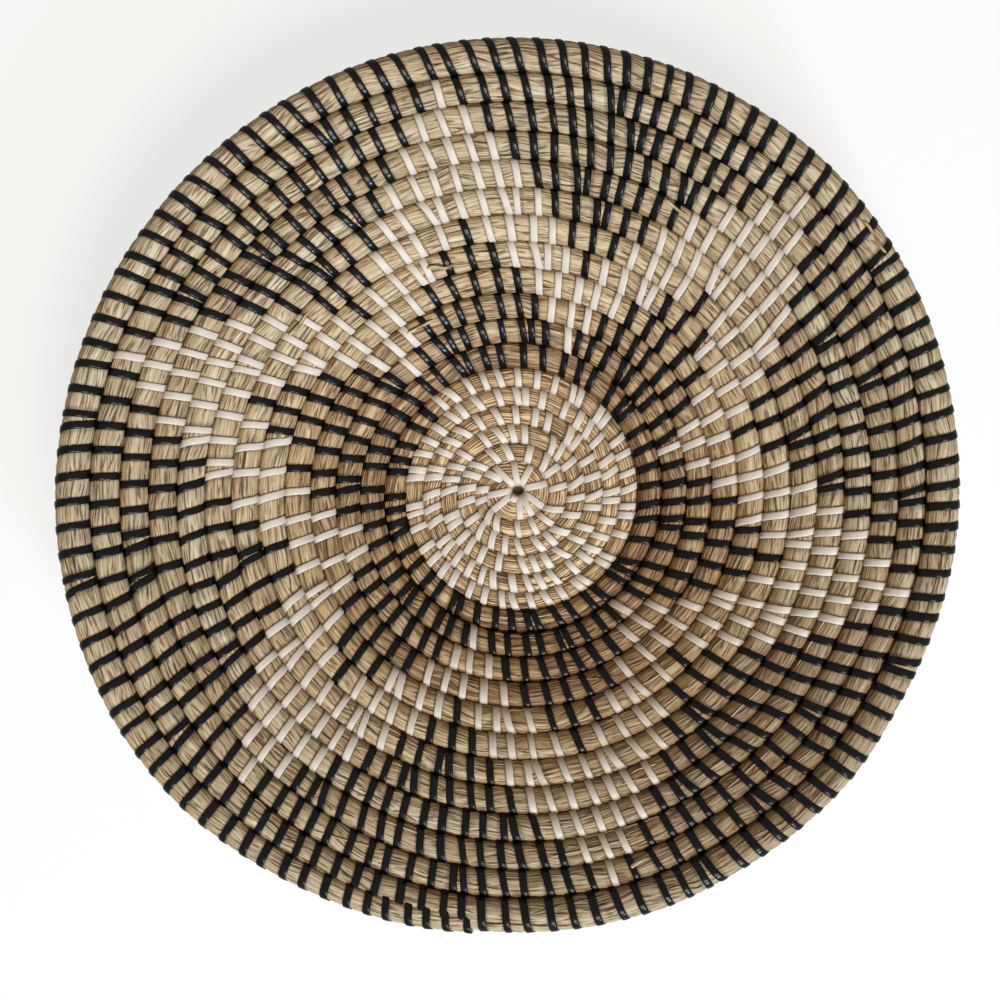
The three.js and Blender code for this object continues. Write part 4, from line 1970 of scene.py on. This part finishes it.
@dataclass(frozen=True)
class SquareLight:
    """A square area light that faces the bowl, with its place and size in metres."""

    name: str
    place: Triple
    size: float
    energy: float
    colour: Triple

    def add(self) -> None:
        """Adds the light to the scene."""
        light = bpy.data.lights.new(self.name, "AREA")
        light.energy = self.energy
        light.size = self.size
        light.color = self.colour
        holder = bpy.data.objects.new(self.name, light)
        holder.location = self.place
        holder.rotation_euler = (-Vector(self.place)).to_track_quat("-Z", "Y").to_euler()
        bpy.context.scene.collection.objects.link(holder)


@dataclass
class Studio:
    """The pale floor, the soft lights and the camera straight above the bowl.

    The camera's scale is in millimetres for each pixel at the height of the rim.
    """

    axis: Array
    centre_pixel: Pair = (517.0, 494.0)
    image_size: float = 1000.0
    rim_height: float = 62.0
    rim_scale: float = 0.3933
    rim_distance: float = 836.0
    sensor: float = 36.0
    camera_reach: float = 10.0
    lights: tuple[SquareLight, ...] = (
        SquareLight("key_light", (0.78, -2.2, 3.4), 1.4, 150.0, (1.0, 0.915, 0.785)),
        SquareLight("window_light", (0.57, -1.11, 0.78), 0.25, 20.0, (0.46, 0.73, 1.0)),
    )
    world_colour: Triple = (1.0, 0.85, 0.6)
    world_strength: float = 0.12
    floor_size: float = 40.0
    floor_colour: Triple = (0.86, 0.86, 0.86)
    floor_roughness: float = 0.9
    floor_glow: float = 0.78

    def add_camera(self) -> None:
        """Puts the camera above the bowl so that the coil's middle falls on its pixel."""
        camera = bpy.data.cameras.new("camera")
        base_scale = self.rim_scale * (self.rim_distance + self.rim_height) / self.rim_distance
        middle = self.image_size / 2
        camera.sensor_width = self.sensor
        camera.lens = self.sensor * self.rim_distance / (self.rim_scale * self.image_size)
        camera.clip_end = self.camera_reach
        holder = bpy.data.objects.new("camera", camera)
        shift_x = (self.centre_pixel[0] - middle) * base_scale * MM
        shift_y = (middle - self.centre_pixel[1]) * base_scale * MM
        height = (self.rim_distance + self.rim_height) * MM
        holder.location = (self.axis[0] - shift_x, self.axis[1] - shift_y, height)
        bpy.context.scene.collection.objects.link(holder)
        bpy.context.scene.camera = holder

    def add_floor(self) -> None:
        """Adds the floor, nearly white to the camera but with the bowl's shadow."""
        half = self.floor_size / 2
        corners = [(-half, -half, 0.0), (half, -half, 0.0), (half, half, 0.0), (-half, half, 0.0)]
        mesh = bpy.data.meshes.new("floor")
        mesh.from_pydata(corners, [], [(0, 1, 2, 3)])
        floor = bpy.data.objects.new("floor", mesh)
        bpy.context.scene.collection.objects.link(floor)
        material, nodes, shader = new_material("floor_finish")
        nodes.join(shader, {"Base Color": (*self.floor_colour, 1.0), "Roughness": self.floor_roughness})
        glowing = {0: nodes.direct_ray(), 1: self.floor_glow}
        share = nodes.add("Math", glowing, operation="MULTIPLY")["Value"]
        glow = nodes.add("Emission", {"Strength": 1.0})["Emission"]
        nodes.show("Material Output", share, (shader.outputs["BSDF"], glow))
        mesh.materials.append(material)

    def add_world(self) -> None:
        """Lights the scene evenly with a warm colour, but shows white to the camera and in reflections."""
        world = bpy.data.worlds.new("world")
        bpy.context.scene.world = world
        world.use_nodes = True
        nodes = Nodes(world.node_tree)
        soft = world.node_tree.nodes["Background"]
        nodes.join(soft, {"Color": (*self.world_colour, 1.0), "Strength": self.world_strength})
        white = nodes.add("Background", {"Color": (1.0, 1.0, 1.0, 1.0), "Strength": 1.0})["Background"]
        nodes.show("World Output", nodes.direct_ray(), (soft.outputs["Background"], white))

    def build(self) -> None:
        """Makes the camera, the lights, the floor and the world."""
        self.add_camera()
        for light in self.lights:
            light.add()
        self.add_floor()
        self.add_world()
        bpy.context.scene.view_settings.view_transform = "Standard"


def dress(piece: bpy.types.Object, material: bpy.types.Material, slot: str, *nodes: str) -> None:
    """Gives a piece its finish, hangs it under the root body and hides the solids that it stands for.

    Args:
        piece: The piece.
        material: Its finish.
        slot: The name of its material slot; not used.
        nodes: The solids that it stands for.
    """
    piece.data.materials.append(material)
    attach(piece, "root")
    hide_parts(*nodes)
    LOG.info("%s: %d faces", piece.name, len(piece.data.polygons))


def solid_strip_name(row: int) -> str:
    """The name of the solid strip that a row's strips stand for.

    Args:
        row: The row's number, from 1 at the middle.

    Returns:
        The solid's name.
    """
    if row < BLACK_ROW:
        return f"white_strip_row_{row:02d}"
    if row == BLACK_ROW:
        return f"black_strip_row_{row:02d}"
    if row < RIM_ROW:
        return f"patterned_strip_row_{row:02d}"
    return "rim_strip" if row == RIM_ROW else "rim_end_lashing"


def build_grass(form: BundleForm, rng: np.random.Generator) -> list[bpy.types.Object]:
    """Makes all the pieces of grass.

    Args:
        form: The bundle's form.
        rng: The source of random values.

    Returns:
        The rows, the loose stalks, a few broad blades over the strips, and the hole's floor, painted dark
        as shade.
    """
    blades = LooseStalks(
        form, rng, count=6, samples=20, tones=((204, 182, 146), (190, 166, 128)), lengths=(8.0, 13.0),
        half_widths=(0.6, 1.05), half_thickness=0.14, highest=0.75, over_strips=True,
    )
    pieces = GrassRows(form, rng).build()
    pieces.append(LooseStalks(form, rng).build("loose_stalks"))
    pieces.append(blades.build("stray_blades"))
    pieces.append(HoleShadeFloor(form).build("hole_shade_floor"))
    return pieces


def main() -> None:
    """Builds the studio, the grass and the strips in order."""
    logging.basicConfig(level=logging.INFO, format="%(message)s")
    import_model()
    rng = np.random.default_rng(SEED)
    path = CoilPath()
    axis = find_axis(path)
    LOG.info("coil middle at %.2f, %.2f mm", axis[0] / MM, axis[1] / MM)
    Studio(axis).build()
    stitches = StitchPlan(path, rng).make()
    form = BundleForm(path, stitches, Stray(), axis)
    grass = GrassFinish().make()
    for piece in build_grass(form, rng):
        dress(piece, grass, "seagrass", "seagrass_coil")
    work = StripWork(form)
    finishes = {colour: finish.make() for colour, finish in STRIP_FINISHES.items()}
    spokes = work.build_spokes("white_strips_row_01")
    dress(spokes, finishes[StripColour.WHITE], StripColour.WHITE.value, solid_strip_name(1))
    for row in range(2, int(stitches.row.max()) + 1):
        for colour, material in finishes.items():
            name = f"{colour.value}s_row_{row:02d}"
            piece = work.build_row(row, colour, name)
            if piece is not None:
                dress(piece, material, colour.value, solid_strip_name(row))


if __name__ == "__main__":
    main()
